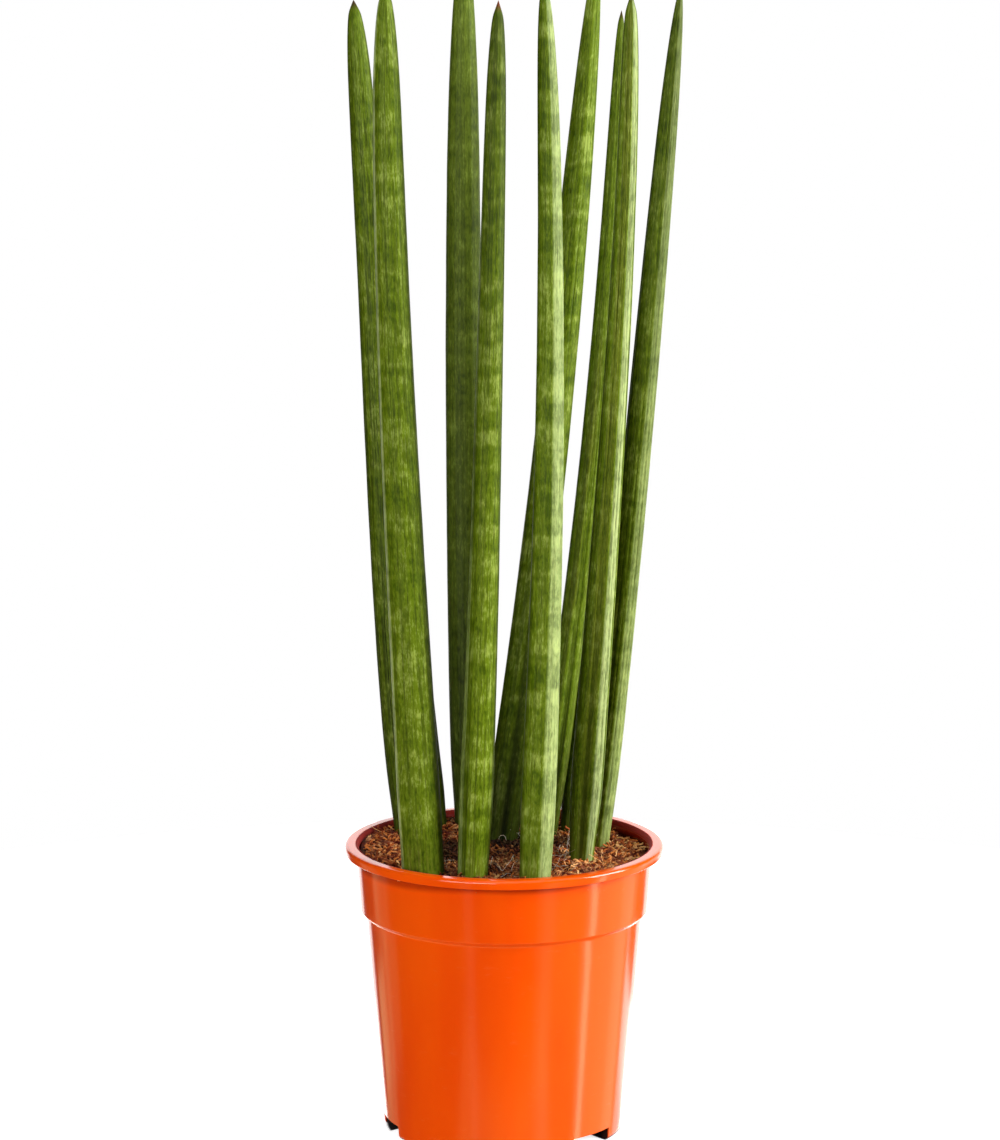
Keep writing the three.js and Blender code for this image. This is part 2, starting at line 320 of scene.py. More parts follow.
class GeometryGraph(Graph):
    """A geometry tree with named inputs, run once on an object that holds it."""

    def __init__(self, name: str, sockets: dict[str, Kind]) -> None:
        """Makes an empty tree.

        Args:
            name: Name of the tree.
            sockets: Its inputs by name.
        """
        super().__init__(bpy.data.node_groups.new(name, "GeometryNodeTree"))
        interface = self.tree.interface
        interface.new_socket("Geometry", in_out="INPUT", socket_type="NodeSocketGeometry")
        for socket, kind in sockets.items():
            interface.new_socket(socket, in_out="INPUT", socket_type=kind.value)
        interface.new_socket("Geometry", in_out="OUTPUT", socket_type="NodeSocketGeometry")
        self.group_in = self.node("NodeGroupInput")

    def input(self, name: str) -> bpy.types.NodeSocket:
        """The group input socket of that name."""
        return self.group_in.outputs[name]

    def number(self, name: str) -> Num:
        """The group input of that name as a number."""
        return Num(self, self.input(name))

    def place(self, name: str) -> Vec:
        """The group input of that name as a vector."""
        return Vec(self, self.input(name))

    def here(self) -> Vec:
        """Place of the point or the face that is worked on."""
        return self.vec(self.node("GeometryNodeInputPosition"))

    def store(
        self, geometry: object, name: str, value: Wire, domain: str = "POINT"
    ) -> bpy.types.Node:
        """Stores a value on the geometry under a name.

        Args:
            geometry: What gives the geometry.
            name: Name of the attribute.
            value: A number or a vector.
            domain: What it is stored on.

        Returns:
            The node that gives the geometry with its attribute.
        """
        data_type = "FLOAT_VECTOR" if isinstance(value, Vec) else "FLOAT"
        settings = {"data_type": data_type, "domain": domain}
        inputs = {"Geometry": geometry, "Name": name, "Value": value}
        return self.node("GeometryNodeStoreNamedAttribute", settings, inputs)

    def finish(self, geometry: object, smooth: bool = True) -> None:
        """Ends the tree: real geometry, its shading and its material.

        Args:
            geometry: What gives the geometry.
            smooth: Whether the faces are shaded smooth.
        """
        real = self.node("GeometryNodeRealizeInstances", inputs={"Geometry": geometry})
        inputs = {"Geometry": real, "Shade Smooth": smooth}
        shaded = self.node("GeometryNodeSetShadeSmooth", inputs=inputs)
        inputs = {"Geometry": shaded, "Material": self.input("Material")}
        self.node("NodeGroupOutput", inputs={0: self.node("GeometryNodeSetMaterial", inputs=inputs)})

    def run(
        self, name: str, values: dict[str, object], base: bpy.types.Mesh | None = None
    ) -> bpy.types.Object:
        """Runs the tree and keeps what it makes as a plain mesh.

        Args:
            name: Name of the new object.
            values: The tree's inputs by name.
            base: Mesh that the tree starts from, if any.

        Returns:
            The object, with no modifier left on it.
        """
        piece = bpy.data.objects.new(name, base or bpy.data.meshes.new(name))
        bpy.context.scene.collection.objects.link(piece)
        modifier = piece.modifiers.new("shape", "NODES")
        modifier.node_group = self.tree
        for item in self.tree.interface.items_tree:
            if item.item_type == "SOCKET" and item.in_out == "INPUT" and item.name in values:
                modifier[item.identifier] = values[item.name]
        piece.update_tag()
        depsgraph = bpy.context.evaluated_depsgraph_get()
        made = bpy.data.meshes.new_from_object(piece.evaluated_get(depsgraph), depsgraph=depsgraph)
        piece.modifiers.remove(modifier)
        piece.data = made
        made.name = name
        return piece


# ---------------------------------------------------------------- finishes


@dataclass(frozen=True)
class Finish:
    """A surface finish, built as a procedural material."""

    name: str

    def start(self, **constants: object) -> tuple[bpy.types.Material, Graph, bpy.types.Node]:
        """Makes a material with its main shader.

        Args:
            constants: Values of the shader's sockets that are the same all over, by the
                socket's name with "_" for a space.

        Returns:
            The material, its graph and its main shader node.
        """
        material = bpy.data.materials.new(self.name)
        material.use_nodes = True
        material.node_tree.nodes.clear()
        graph = Graph(material.node_tree)
        inputs = {key.replace("_", " "): value for key, value in constants.items()}
        shader = graph.node("ShaderNodeBsdfPrincipled", inputs=inputs)
        graph.node("ShaderNodeOutputMaterial", inputs={"Surface": shader})
        return material, graph, shader

    @staticmethod
    def bump(graph: Graph, shader: bpy.types.Node, height: Num, depth: float) -> None:
        """Gives a shader fine relief.

        Args:
            graph: The material's graph.
            shader: Its main shader.
            height: Relief from 0 to 1.
            depth: What a height of 1 is worth, in metres.
        """
        inputs = {"Height": height, "Distance": depth, "Strength": 1.0}
        graph.feed(shader.inputs["Normal"], graph.node("ShaderNodeBump", inputs=inputs))

    @staticmethod
    def place(graph: Graph) -> Vec:
        """Place on the piece in metres."""
        return graph.vec(graph.node("ShaderNodeTexCoord"), "Object")

    @staticmethod
    def attribute(graph: Graph, name: str) -> tuple[Vec, Num]:
        """An attribute of the piece's mesh, as a vector and as a number."""
        made = graph.node("ShaderNodeAttribute", {"attribute_name": name})
        return graph.vec(made, "Vector"), graph.num(made, "Fac")


@dataclass(frozen=True)
class Stripe:
    """A pale or brown line that runs the length of a leaf."""

    angle: float
    width: float
    strength: float
    colour: Colour


@dataclass(frozen=True)
class Layer:
    """A layer of noise on a leaf: its waves round and along the leaf, its shift, its detail and
    how much it lightens and darkens."""

    across: float
    down: float
    shift: float
    detail: float = 1.0
    roughness: float = 0.5
    depth: float = 1.0


@dataclass(frozen=True)
class LeafSkin(Finish):
    """Waxy skin with soft cross bands, mottling, broken dark grooves and speckle."""

    seed: float = 0.0
    dark: Colour = srgb(64, 85, 0)
    middle: Colour = srgb(96, 117, 16)
    light: Colour = srgb(145, 164, 70)
    crack: Colour = srgb(40, 52, 0)
    rust: Colour = srgb(92, 78, 34)
    husk: Colour = srgb(110, 112, 40)
    tip_colour: Colour = srgb(70, 52, 30)
    banding: float = 1.0
    ribbing: float = 0.9
    brown: float = 0.0
    stripes: tuple[Stripe, ...] = ()
    # tone_and_shade: lightness at the foot and at the tip, partly the leaf's own tone and partly painted
    # shade; foot: painted shade towards the leaf's foot.
    tone_and_shade: tuple[float, float] = (1.0, 1.0)
    foot: float = 1.0
    # flank_shade: painted shade on the left and right flanks, standing for the light falling off at the
    # leaf's edges.
    flank_shade: tuple[float, float] = (0.5, 0.3)
    band_wave: float = 112.0
    band_depth: float = 0.54
    gain: float = 1.1
    relief: float = 0.25 * MM

    COMB = Layer(5.0, 40.0, 3.1, 2.0, 0.6, depth=0.6)
    SWEEP = Layer(0.8, 11.0, 7.7, depth=0.9)
    SHOWN = Layer(1.4, 30.0, 4.5)
    BLOTCHES = Layer(1.8, 165.0, 11.3, 2.0, 0.55, depth=1.1)
    PATCHES = Layer(1.3, 14.0, 17.9, 2.0, depth=0.6)
    MOTTLE = Layer(10.0, 330.0, 29.0, 3.0, 0.7, depth=1.7)
    STREAKS = Layer(8.0, 26.0, 61.0, 2.0, depth=0.7)
    BROKEN = Layer(3.0, 110.0, 23.5, 2.0)
    CHOSEN = Layer(2.4, 5.0, 53.5)
    DASHES = Layer(7.5, 110.0, 37.0)
    VEINS = Layer(5.0, 5.0, 71.0)
    CUTS = Layer(4.0, 70.0, 83.0, 2.0)
    FINE = Layer(16.0, 300.0, 31.0, 2.0, 0.6)
    GROOVE_POWER = 0.42
    STRIPE_EDGE = 0.35
    VEIN_SHARE = 0.52

    def material(self) -> bpy.types.Material:
        """Builds the material.

        Returns:
            The leaf's material.
        """
        material, graph, shader = self.start(
            IOR=1.42, Specular_IOR_Level=0.13, Subsurface_Weight=0.04, Subsurface_Scale=0.004
        )
        round_x, round_y, along = self.attribute(graph, "skin_place")[0].parts()
        wave, share, hollow = self.attribute(graph, "skin_rib")[0].parts()

        def read(layer: Layer) -> Num:
            """Reads a layer of noise round the leaf and along it.

            Args:
                layer: The layer.

            Returns:
                The noise from 0 to 1.
            """
            spot = graph.join(round_x * layer.across, round_y * layer.across, along * layer.down)
            shifted = spot + (self.seed + layer.shift, self.seed * 0.7, layer.shift)
            return graph.noise(shifted, 1.0, layer.detail, layer.roughness)

        down = along * self.band_wave
        for layer in (self.COMB, self.SWEEP):
            down = down + (read(layer) - 0.5) * layer.depth
        bands = graph.noise(graph.join(down, self.seed * 3.3, 0.5), 1.0, 1.0)
        strength = share.ramp(0.02, 0.36, 0.66, 0.86) * read(self.SHOWN).ramp(0.3, 0.6, 0.35, 1.0)
        tone = (bands.ramp(0.36, 0.64) - 0.5) * self.band_depth * (strength * self.banding)
        patches, mottle, streaks = (read(layer) for layer in (self.PATCHES, self.MOTTLE, self.STREAKS))
        tone = tone + (read(self.BLOTCHES) - 0.5) * self.BLOTCHES.depth
        tone = tone + (patches - 0.5) * self.PATCHES.depth
        tone = tone + (mottle - 0.5) * self.MOTTLE.depth + (streaks - 0.5) * self.STREAKS.depth

        colour = graph.mix(tone.ramp(-0.55, 0.0), self.dark, self.middle)
        colour = graph.mix(tone.ramp(0.0, 0.6), colour, self.light)
        if self.brown > 0:
            colour = graph.mix(patches.ramp(0.45, 0.7) * self.brown, colour, self.rust)
        for stripe in self.stripes:
            angle, reach = math.radians(stripe.angle), math.cos(math.radians(stripe.width))
            facing = round_x * math.cos(angle) + round_y * math.sin(angle)
            mask = facing.ramp(reach, 1.0 - (1.0 - reach) * self.STRIPE_EDGE) * stripe.strength
            mask = mask * (0.5 + 0.5 * (tone + 0.2 * streaks).ramp(-0.35, 0.3))
            colour = graph.mix(mask, colour, stripe.colour)

        lines = (1.0 - abs(wave) ** self.GROOVE_POWER).ramp(0.42, 0.76)
        lines = lines * (0.3 + 0.7 * read(self.BROKEN).ramp(0.40, 0.60))
        lines = lines * read(self.CHOSEN).ramp(0.46, 0.54, 0.3, 1.0) * self.ribbing
        dashes = read(self.DASHES).ramp(0.60, 0.72) * 0.5
        veins = abs(read(self.VEINS) - 0.5).ramp(0.02, 0.10, 1.0, 0.0)
        veins = veins * (read(self.CUTS).ramp(0.42, 0.54) * min(1.0, self.VEIN_SHARE * self.ribbing))
        colour = graph.mix(lines.at_least(dashes).at_least(veins), colour, self.crack)
        # Painted shade in the leaf's furrow.
        colour = graph.mix(hollow.ramp(0.08, 0.24) * 0.6, colour, self.crack)
        butt = share.ramp(0.0, 0.06, 1.0, 0.0) * streaks.ramp(0.4, 0.7) * 0.5
        colour = graph.mix(butt, colour, self.husk)
        # Painted shade: the left and right flanks, by their side in x, darkened towards the crack colour as
        # light falls off at the leaf's edges.
        left, right = self.flank_shade
        shade = round_x.ramp(-0.70, -0.98, 0.0, left) + round_x.ramp(0.74, 0.99, 0.0, right)
        colour = graph.mix(shade, colour, self.crack)
        # Lighter or darker from foot to tip, partly the leaf's own tone and partly painted shade, then
        # painted shade towards the foot where neighbouring leaves shade it.
        level = share.ramp(0.0, 1.0, *self.tone_and_shade, soft=False) * self.gain
        level = level * share.ramp(0.0, 0.2, self.foot, 1.0)
        end = share + (streaks - 0.5) * 0.012
        colour = colour.scaled(level)
        colour = graph.mix(end.ramp(0.986, 0.997), colour, self.tip_colour)
        graph.feed(shader.inputs["Base Color"], colour)

        rough = 0.40 + 0.16 * mottle + 0.12 * lines + 0.25 * end.ramp(0.986, 0.998)
        graph.feed(shader.inputs["Roughness"], rough)
        height = 0.5 * read(self.FINE) + 0.35 * mottle + 0.4 * (1.0 - lines)
        self.bump(graph, shader, height, self.relief)
        return material


@dataclass(frozen=True)
class PotPlastic(Finish):
    """Semi-gloss moulded plastic with faint flow marks and scuffs."""

    base: Colour = srgb(250, 88, 0)
    deep: Colour = srgb(244, 78, 0)
    scuffed: Colour = srgb(255, 170, 120)
    # Colours of the painted shade on the inside wall, near the soil and higher up.
    inner_shade_low: Colour = srgb(44, 5, 2)
    inner_shade_high: Colour = srgb(132, 16, 8)
    # Colour of the painted shadow under the lip.
    lip_shadow_colour: Colour = srgb(120, 20, 0)
    # Colour of the painted shade below the pot's floor, seen through the notches.
    underside_shade: Colour = srgb(26, 12, 6)
    mouth: float = 78.3 * MM
    curl: float = 1.4 * MM
    bend: float = 153.4 * MM
    inner_shade_foot: float = 145 * MM
    lip_foot: float = 150 * MM
    # Where the painted shadow under the lip reaches down, across x, and where it fades out on the right.
    lip_shadow_sides: tuple[float, float] = (-60 * MM, -10 * MM)
    lip_shadow_feet: tuple[float, float] = (142.5 * MM, 145 * MM)
    lip_shadow_fade: tuple[float, float] = (10 * MM, 60 * MM)
    floor_level: float = 7.2 * MM
    foot_radius: float = 64.2 * MM

    def material(self) -> bpy.types.Material:
        """Builds the material.

        Returns:
            The pot's material.
        """
        material, graph, shader = self.start(
            IOR=1.49, Specular_IOR_Level=0.5, Subsurface_Weight=0.06, Subsurface_Scale=0.003
        )
        place = self.place(graph)
        flow = graph.noise(place * (26.0, 26.0, 7.0), 1.0, 3.0, 0.55)
        grain = graph.noise(place, 2600.0, 2.0, 0.5)
        scuff = graph.noise(place * (90.0, 90.0, 320.0), 1.0, 4.0, 0.7).ramp(0.6, 0.78)
        colour = graph.mix(flow.ramp(0.3, 0.7), self.deep, self.base)
        colour = graph.mix(scuff * 0.08, colour, self.scuffed)
        x, y, z = place.parts()
        reach = graph.join(x, y, 0.0).length()
        # Painted shade on the inside wall above the soil, darker towards the soil.
        edge = self.mouth + (flow - 0.5) * 0.6 * MM + z.ramp(self.bend, self.bend + MM, 0.0, self.curl)
        inside = (edge - reach).ramp(0.0, 0.6 * MM) * z.ramp(self.inner_shade_foot, self.inner_shade_foot + MM)
        deep = z.ramp(self.inner_shade_foot + 3 * MM, self.inner_shade_foot + 8 * MM)
        curled = z.ramp(self.bend - 2 * MM, self.bend)
        colour = graph.mix(inside * 0.96, colour, graph.mix(deep, self.inner_shade_low, self.inner_shade_high))
        # Painted shadow just under the lip, reaching lower on the left and fading out on the right.
        lip_shadow = (z - x.ramp(*self.lip_shadow_sides, *self.lip_shadow_feet)).ramp(0.0, 4 * MM)
        lip_shadow = lip_shadow * z.ramp(self.lip_foot - 0.4 * MM, self.lip_foot, 1.0, 0.0)
        lip_shadow = lip_shadow * (1.0 - inside) * x.ramp(*self.lip_shadow_fade, 0.6, 0.1)
        colour = graph.mix(lip_shadow, colour, self.lip_shadow_colour)
        # Painted shade on the inner faces below the pot's floor.
        shaded_underside = z.ramp(self.floor_level, self.floor_level + 0.3 * MM, 1.0, 0.0)
        shaded_underside = shaded_underside * (self.foot_radius - reach).ramp(0.0, 0.8 * MM)
        colour = graph.mix(shaded_underside * 0.97, colour, self.underside_shade)
        graph.feed(shader.inputs["Base Color"], colour)
        rough = 0.10 + 0.05 * flow + 0.03 * grain + 0.10 * scuff + 0.5 * shaded_underside + 0.9 * inside * curled
        graph.feed(shader.inputs["Roughness"], rough)
        waves = graph.noise(place * (40.0, 40.0, 12.0), 1.0, 1.0)
        self.bump(graph, shader, waves * 0.9 + grain * 0.03, 0.12 * MM)
        return material


@dataclass(frozen=True)
class CoirFinish(Finish):
    """Rough brown coir, from dark wet dust to pale dry husk."""

    dark: Colour = srgb(62, 24, 14)
    middle: Colour = srgb(128, 66, 40)
    light: Colour = srgb(194, 136, 92)
    red: Colour = srgb(140, 44, 26)
    tinted: bool = False
    grain: float = 700.0
    patch_wave: float = 45.0
    rust: float = 0.4
    # Painted light: the coir's tone rises from left to right across these places, as the light falls from
    # the right.
    sides: tuple[float, float] = (-60 * MM, 60 * MM)
    side_light: tuple[float, float] = (-0.07, 0.05)
    # Painted shadows of the leaves on the coir: x, y, radius and the share of light left in each.
    shadow_spots: tuple[tuple[float, float, float, float], ...] = (
        (-28 * MM, -58 * MM, 20 * MM, 0.5), (0.0, -60 * MM, 22 * MM, 0.6),
        (-2 * MM, -24 * MM, 30 * MM, 0.36), (-29 * MM, -6 * MM, 28 * MM, 0.14),
        (4 * MM, 20 * MM, 20 * MM, 0.08), (30 * MM, 22 * MM, 14 * MM, 0.3),
    )

    def material(self) -> bpy.types.Material:
        """Builds the material.

        Returns:
            The coir's material.
        """
        material, graph, shader = self.start(IOR=1.45, Specular_IOR_Level=0.2)
        place = self.place(graph)
        clumps = graph.noise(place, self.grain * 0.25, 3.0, 0.6)
        grain = graph.noise(place, self.grain, 4.0, 0.65)
        patches = graph.noise(place, self.patch_wave, 2.0)
        # Painted light: the left side darker and the right side lighter.
        across = place.parts()[0].ramp(*self.sides, *self.side_light, soft=False)
        tone = clumps * 0.7 + grain * 0.4 + (patches - 0.5) * 0.4 + across
        if self.tinted:
            tint = self.attribute(graph, "tint")[1]
            tone = tone * 0.55 + tint * 0.5
        colour = graph.mix(tone.ramp(0.3, 0.55), self.dark, self.middle)
        colour = graph.mix(tone.ramp(0.56, 0.8), colour, self.light)
        rusty = graph.noise(place + (0.3, 0.1, 0.0), 110.0, 2.0).ramp(0.5, 0.66) * self.rust
        colour = graph.mix(rusty, colour, self.red)
        # Painted shadows: each spot dims the coir to its share.
        level: object = 1.0
        for x, y, radius, share in self.shadow_spots:
            far = (place * (1.0, 1.0, 0.0) - (x, y, 0.0)).length()
            level = far.ramp(radius * 0.65, radius * 1.1, share, 1.0).at_most(level)
        if self.shadow_spots:
            colour = colour.scaled(level)
        graph.feed(shader.inputs["Base Color"], colour)
        graph.feed(shader.inputs["Roughness"], 0.78 + 0.18 * grain)
        self.bump(graph, shader, grain, 0.5 * MM)
        return material


@dataclass(frozen=True)
class FloorFinish(Finish):
    """Plain near-white sweep that glows to the eye, with a shadow under the pot."""

    glow: float = 0.8
    white: float = 0.8
    shadow_radius: float = 62.5 * MM
    shadow_depth: float = 30 * MM
    shadow_out: float = -54 * MM
    shadow_in: float = -26 * MM
    edge: float = 2 * MM

    def material(self) -> bpy.types.Material:
        """Builds the material.

        Returns:
            The floor's material.
        """
        material, graph, shader = self.start(Roughness=0.8, Emission_Strength=1.0)
        x, y, _ = self.place(graph).parts()
        reach = graph.join(x, y, 0.0).length()
        depth = (y + abs(x) + x * 0.2).ramp(self.shadow_depth, self.shadow_depth + self.edge)
        side = x.ramp(self.shadow_out, self.shadow_out + 3 * self.edge)
        depth = depth.at_least(side * x.ramp(self.shadow_in, self.shadow_in + self.edge, 1.0, 0.0))
        lit = 1.0 - depth * reach.ramp(self.shadow_radius, self.shadow_radius + self.edge, 1.0, 0.0)
        glow, white = lit * self.glow, lit * self.white
        graph.feed(shader.inputs["Emission Color"], graph.join(glow, glow, glow))
        graph.feed(shader.inputs["Base Color"], graph.join(white, white, white))
        return material


# ---------------------------------------------------------------- pieces


def settle(piece: bpy.types.Object, replaces: str | None = None) -> bpy.types.Object:
    """Makes a finished piece part of the object.

    Args:
        piece: The piece, already in place.
        slot: The record's material slot that it takes its finish from.
        replaces: The node that it stands for, if any.

    Returns:
        The piece.
    """
    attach(piece, "root")
    if replaces:
        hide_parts(replaces)
    triangles = sum(len(face.vertices) - 2 for face in piece.data.polygons)
    log.info("%s: %d triangles", piece.name, triangles)
    return piece


def ring_of(work: bmesh.types.BMesh, radius: float, sides: int, height: Callable) -> list:
    """Adds one ring of points round the axis.

    Args:
        work: The mesh being built.
        radius: The ring's radius.
        sides: How many points it has.
        height: Gives a point's height from its x and y.

    Returns:
        The ring's vertices.
    """
    ring = []
    for side in range(sides):
        angle = TURN * side / sides
        x, y = radius * math.cos(angle), radius * math.sin(angle)
        ring.append(work.verts.new((x, y, height(x, y))))
    return ring


def stitch(work: bmesh.types.BMesh, rings: list[list], sides: int) -> None:
    """Lays faces between rings that follow each other.

    Args:
        work: The mesh being built.
        rings: The rings in order; one of a single vertex is a pole.
        sides: How many points a full ring has.
    """
    for low, high in zip(rings, rings[1:]):
        for side in range(sides):
            after = (side + 1) % sides
            corners = [low[side % len(low)], low[after % len(low)]]
            corners += [high[after % len(high)], high[side % len(high)]]
            work.faces.new(list(dict.fromkeys(corners)))


def keep_mesh(work: bmesh.types.BMesh, name: str) -> bpy.types.Mesh:
    """Turns the faces of a closed mesh outwards and keeps it.

    Args:
        work: The mesh that was built.
        name: Name of the mesh that is kept.

    Returns:
        The mesh.
    """
    bmesh.ops.recalc_face_normals(work, faces=work.faces)
    mesh = bpy.data.meshes.new(name)
    work.to_mesh(mesh)
    work.free()
    return mesh


@dataclass
class Pot:
    """The moulded nursery pot: lip, collar, step, tapered wall, feet and drain notches."""

    height: float = 155 * MM
    wall: float = 1.4 * MM
    lip_radius: float = 85 * MM
    lip_mouth: float = 79.3 * MM
    lip_depth: float = 5 * MM
    lip_thickness: float = 1.8 * MM
    lip_round: float = 1.8 * MM
    collar_top: float = 78.9 * MM
    collar_foot: float = 76.8 * MM
    step_top: float = 119.2 * MM
    step_foot: float = 117.2 * MM
    body_top: float = 73.6 * MM
    body_foot: float = 64.5 * MM
    corner: float = 2.4 * MM
    floor_under: float = 6.5 * MM
    floor_thick: float = 2 * MM
    foot_ring: float = 4.2 * MM
    notches: int = 6
    first_notch: float = -43.0
    notch_width: float = 28 * MM
    notch_height: float = 7 * MM
    hole_radius: float = 4.5 * MM
    hole_pitch: float = 52 * MM
    sides: int = 240
    cut_depth: float = 12 * MM
    drill_sides: int = 32
    drill_depth: float = 30 * MM
    crease: float = 34.0
    finish: PotPlastic = field(default_factory=lambda: PotPlastic("orange_plastic"))

    def inner(self, z: float) -> float:
        """Radius of the wall's inside at a height.

        Args:
            z: The height.

        Returns:
            The radius.
        """
        if z >= self.step_top:
            up = (z - self.step_top) / (self.height - self.lip_depth - self.step_top)
            return self.collar_foot + (self.collar_top - self.collar_foot) * up - self.wall
        top = self.body_top - self.wall
        foot = self.body_foot - self.wall
        if z >= self.step_foot:
            up = (z - self.step_foot) / (self.step_top - self.step_foot)
            return top + (self.collar_foot - self.wall - top) * up
        return foot + (top - foot) * z / self.step_foot

    @staticmethod
    def _arc(x: float, z: float, radius: float, start: float, end: float, steps: int) -> list:
        """Points on an arc of the section.

        Args:
            x: Radius at which the arc's centre lies.
            z: Height of the arc's centre.
            radius: The arc's own radius.
            start: First angle in degrees.
            end: Last angle in degrees.
            steps: Number of chords.

        Returns:
            A list of (radius, height).
        """
        angles = [math.radians(start + (end - start) * i / steps) for i in range(steps + 1)]
        return [(x + radius * math.cos(a), z + radius * math.sin(a)) for a in angles]

    @staticmethod
    def _line(start: tuple, end: tuple, steps: int) -> list:
        """Points on a straight stretch of the section.

        Args:
            start: Where it starts, left out.
            end: Where it ends, left out.
            steps: Number of chords.

        Returns:
            A list of (radius, height).
        """
        shares = [i / steps for i in range(1, steps)]
        return [tuple(a + (b - a) * share for a, b in zip(start, end)) for share in shares]

    @staticmethod
    def _near(corner: tuple, *steps: tuple[float, float]) -> list:
        """Points that lie some millimetres out from a corner and over it."""
        return [(corner[0] + out * MM, corner[1] + over * MM) for out, over in steps]

    def section(self) -> list[tuple[float, float]]:
        """The pot's section.

        Returns:
            Points (radius, height) from the middle of the underside round to the inside.
        """
        floor_top = self.floor_under + self.floor_thick
        ring_inner = self.body_foot - self.foot_ring
        lip_under = self.height - self.lip_thickness
        skirt_inner = self.lip_radius - self.lip_thickness
        skirt_foot = self.height - self.lip_depth
        round_middle = (self.lip_radius - self.lip_round, self.height - self.lip_round)
        outer_foot = (self.body_foot, self.corner)
        body_top = (self.body_top, self.step_foot - 1.0 * MM)
        collar_foot = (self.collar_foot, self.step_top + 0.6 * MM)
        collar_top = (self.collar_top, skirt_foot)
        inner_top = (self.collar_top - self.wall, skirt_foot - 1.5 * MM)
        inner_step = (self.collar_foot - self.wall, self.step_top)
        inner_body = (self.body_top - self.wall, self.step_foot)
        inner_foot = (self.inner(floor_top + 1.2 * MM), floor_top + 1.2 * MM)
        fillet = 1.6 * MM
        edge_round = 0.7 * MM
        mouth = (self.lip_mouth, self.height)
        return [
            (0.0, self.floor_under),
            (ring_inner - 0.4 * MM, self.floor_under),
            (ring_inner - 0.2 * MM, 0.0),
            *self._arc(self.body_foot - self.corner, self.corner, self.corner, -90, 0, 6),
            *self._line(outer_foot, body_top, 12),
            body_top,
            *self._arc(self.body_top + fillet, body_top[1], fillet, 180, 118, 5)[1:],
            *self._arc(self.collar_foot - edge_round, collar_foot[1], edge_round, -62, 0, 4),
            *self._line(collar_foot, collar_top, 5),
            collar_top,
            *self._near((self.collar_top, lip_under), (0.3, -1.3), (1.0, -0.6)),
            *self._near((skirt_inner, lip_under), (-0.8, -0.4), (0.0, -1.2)),
            *self._near((skirt_inner, skirt_foot), (0.0, 0.4), (0.3, 0.0)),
            *self._near((self.lip_radius, skirt_foot), (-0.9, 0.0), (-0.35, 0.4)),
            *self._arc(*round_middle, self.lip_round, 0, 90, 8),
            *self._line((round_middle[0], self.height), mouth, 3),
            *self._near(mouth, (0.0, -0.02), (-0.6, -0.12), (-1.1, -0.5), (-1.5, -1.2), (-1.75, -2.2)),
            inner_top,
            *self._line(inner_top, inner_step, 5),
            inner_step,
            inner_body,
            *self._line(inner_body, inner_foot, 8),
            inner_foot,
            (self.inner(floor_top) - 1.2 * MM, floor_top),
            (0.0, floor_top),
        ]

    def shell(self) -> bpy.types.Mesh:
        """Turns the section round the axis.

        Returns:
            The pot's closed shell, without notches or holes.
        """
        work = bmesh.new()
        rings = []
        for radius, level in self.section():
            sides = self.sides if radius else 1
            rings.append(ring_of(work, radius, sides, lambda x, y, level=level: level))
        stitch(work, rings, self.sides)
        return keep_mesh(work, "pot_shell")

    @staticmethod
    def drain_tree() -> GeometryGraph:
        """The tree that cuts notches and holes at equal steps round the pot.

        Returns:
            The tree, with its sizes as inputs.
        """
        numbers = ["First Angle", "Notch Radius", "Hole Radius", "Hole Pitch", "Hole Depth"]
        graph = GeometryGraph("drain_cuts", {
            "Count": Kind.COUNT, "Notch Size": Kind.PLACE, "Hole Sides": Kind.COUNT,
            "Material": Kind.MATERIAL, **{name: Kind.NUMBER for name in numbers},
        })
        points = graph.node("GeometryNodePoints", inputs={"Count": graph.input("Count")})
        index = graph.num(graph.node("GeometryNodeInputIndex"))
        angle = graph.number("First Angle") + index * TURN / graph.number("Count")
        turned = graph.join(0.0, 0.0, angle)
        flesh: object = graph.input("Geometry")
        notch = graph.node("GeometryNodeMeshCube", inputs={"Size": graph.input("Notch Size")})
        drill = graph.node("GeometryNodeMeshCylinder", inputs={
            "Vertices": graph.input("Hole Sides"), "Radius": graph.input("Hole Radius"),
            "Depth": graph.input("Hole Depth"),
        })
        for cutter, reach in ((notch, "Notch Radius"), (drill, "Hole Pitch")):
            radius = graph.number(reach)
            spot = graph.join(angle.cos() * radius, angle.sin() * radius, 0.0)
            placed = graph.node("GeometryNodeSetPosition", inputs={
                "Geometry": points, "Position": spot,
            })
            copies = graph.node("GeometryNodeInstanceOnPoints", inputs={
                "Points": placed, "Instance": cutter, "Rotation": turned,
            })
            real = graph.node("GeometryNodeRealizeInstances", inputs={0: copies})
            flesh = graph.node("GeometryNodeMeshBoolean",
                               {"operation": "DIFFERENCE", "solver": "EXACT"},
                               {"Mesh 1": flesh, "Mesh 2": real})
        graph.finish(flesh)
        return graph

    def build(self) -> bpy.types.Object:
        """Builds the pot and puts it in the node's place.

        Returns:
            The finished pot.
        """
        piece = self.drain_tree().run("nursery_pot", {
            "Count": self.notches,
            "First Angle": math.radians(self.first_notch),
            "Notch Size": [self.cut_depth, self.notch_width, 2 * self.notch_height],
            "Notch Radius": self.body_foot,
            "Hole Radius": self.hole_radius,
            "Hole Pitch": self.hole_pitch,
            "Hole Sides": self.drill_sides,
            "Hole Depth": self.drill_depth,
            "Material": self.finish.material(),
        }, self.shell())
        piece.data.set_sharp_from_angle(angle=math.radians(self.crease))
        return settle(piece, "pot")


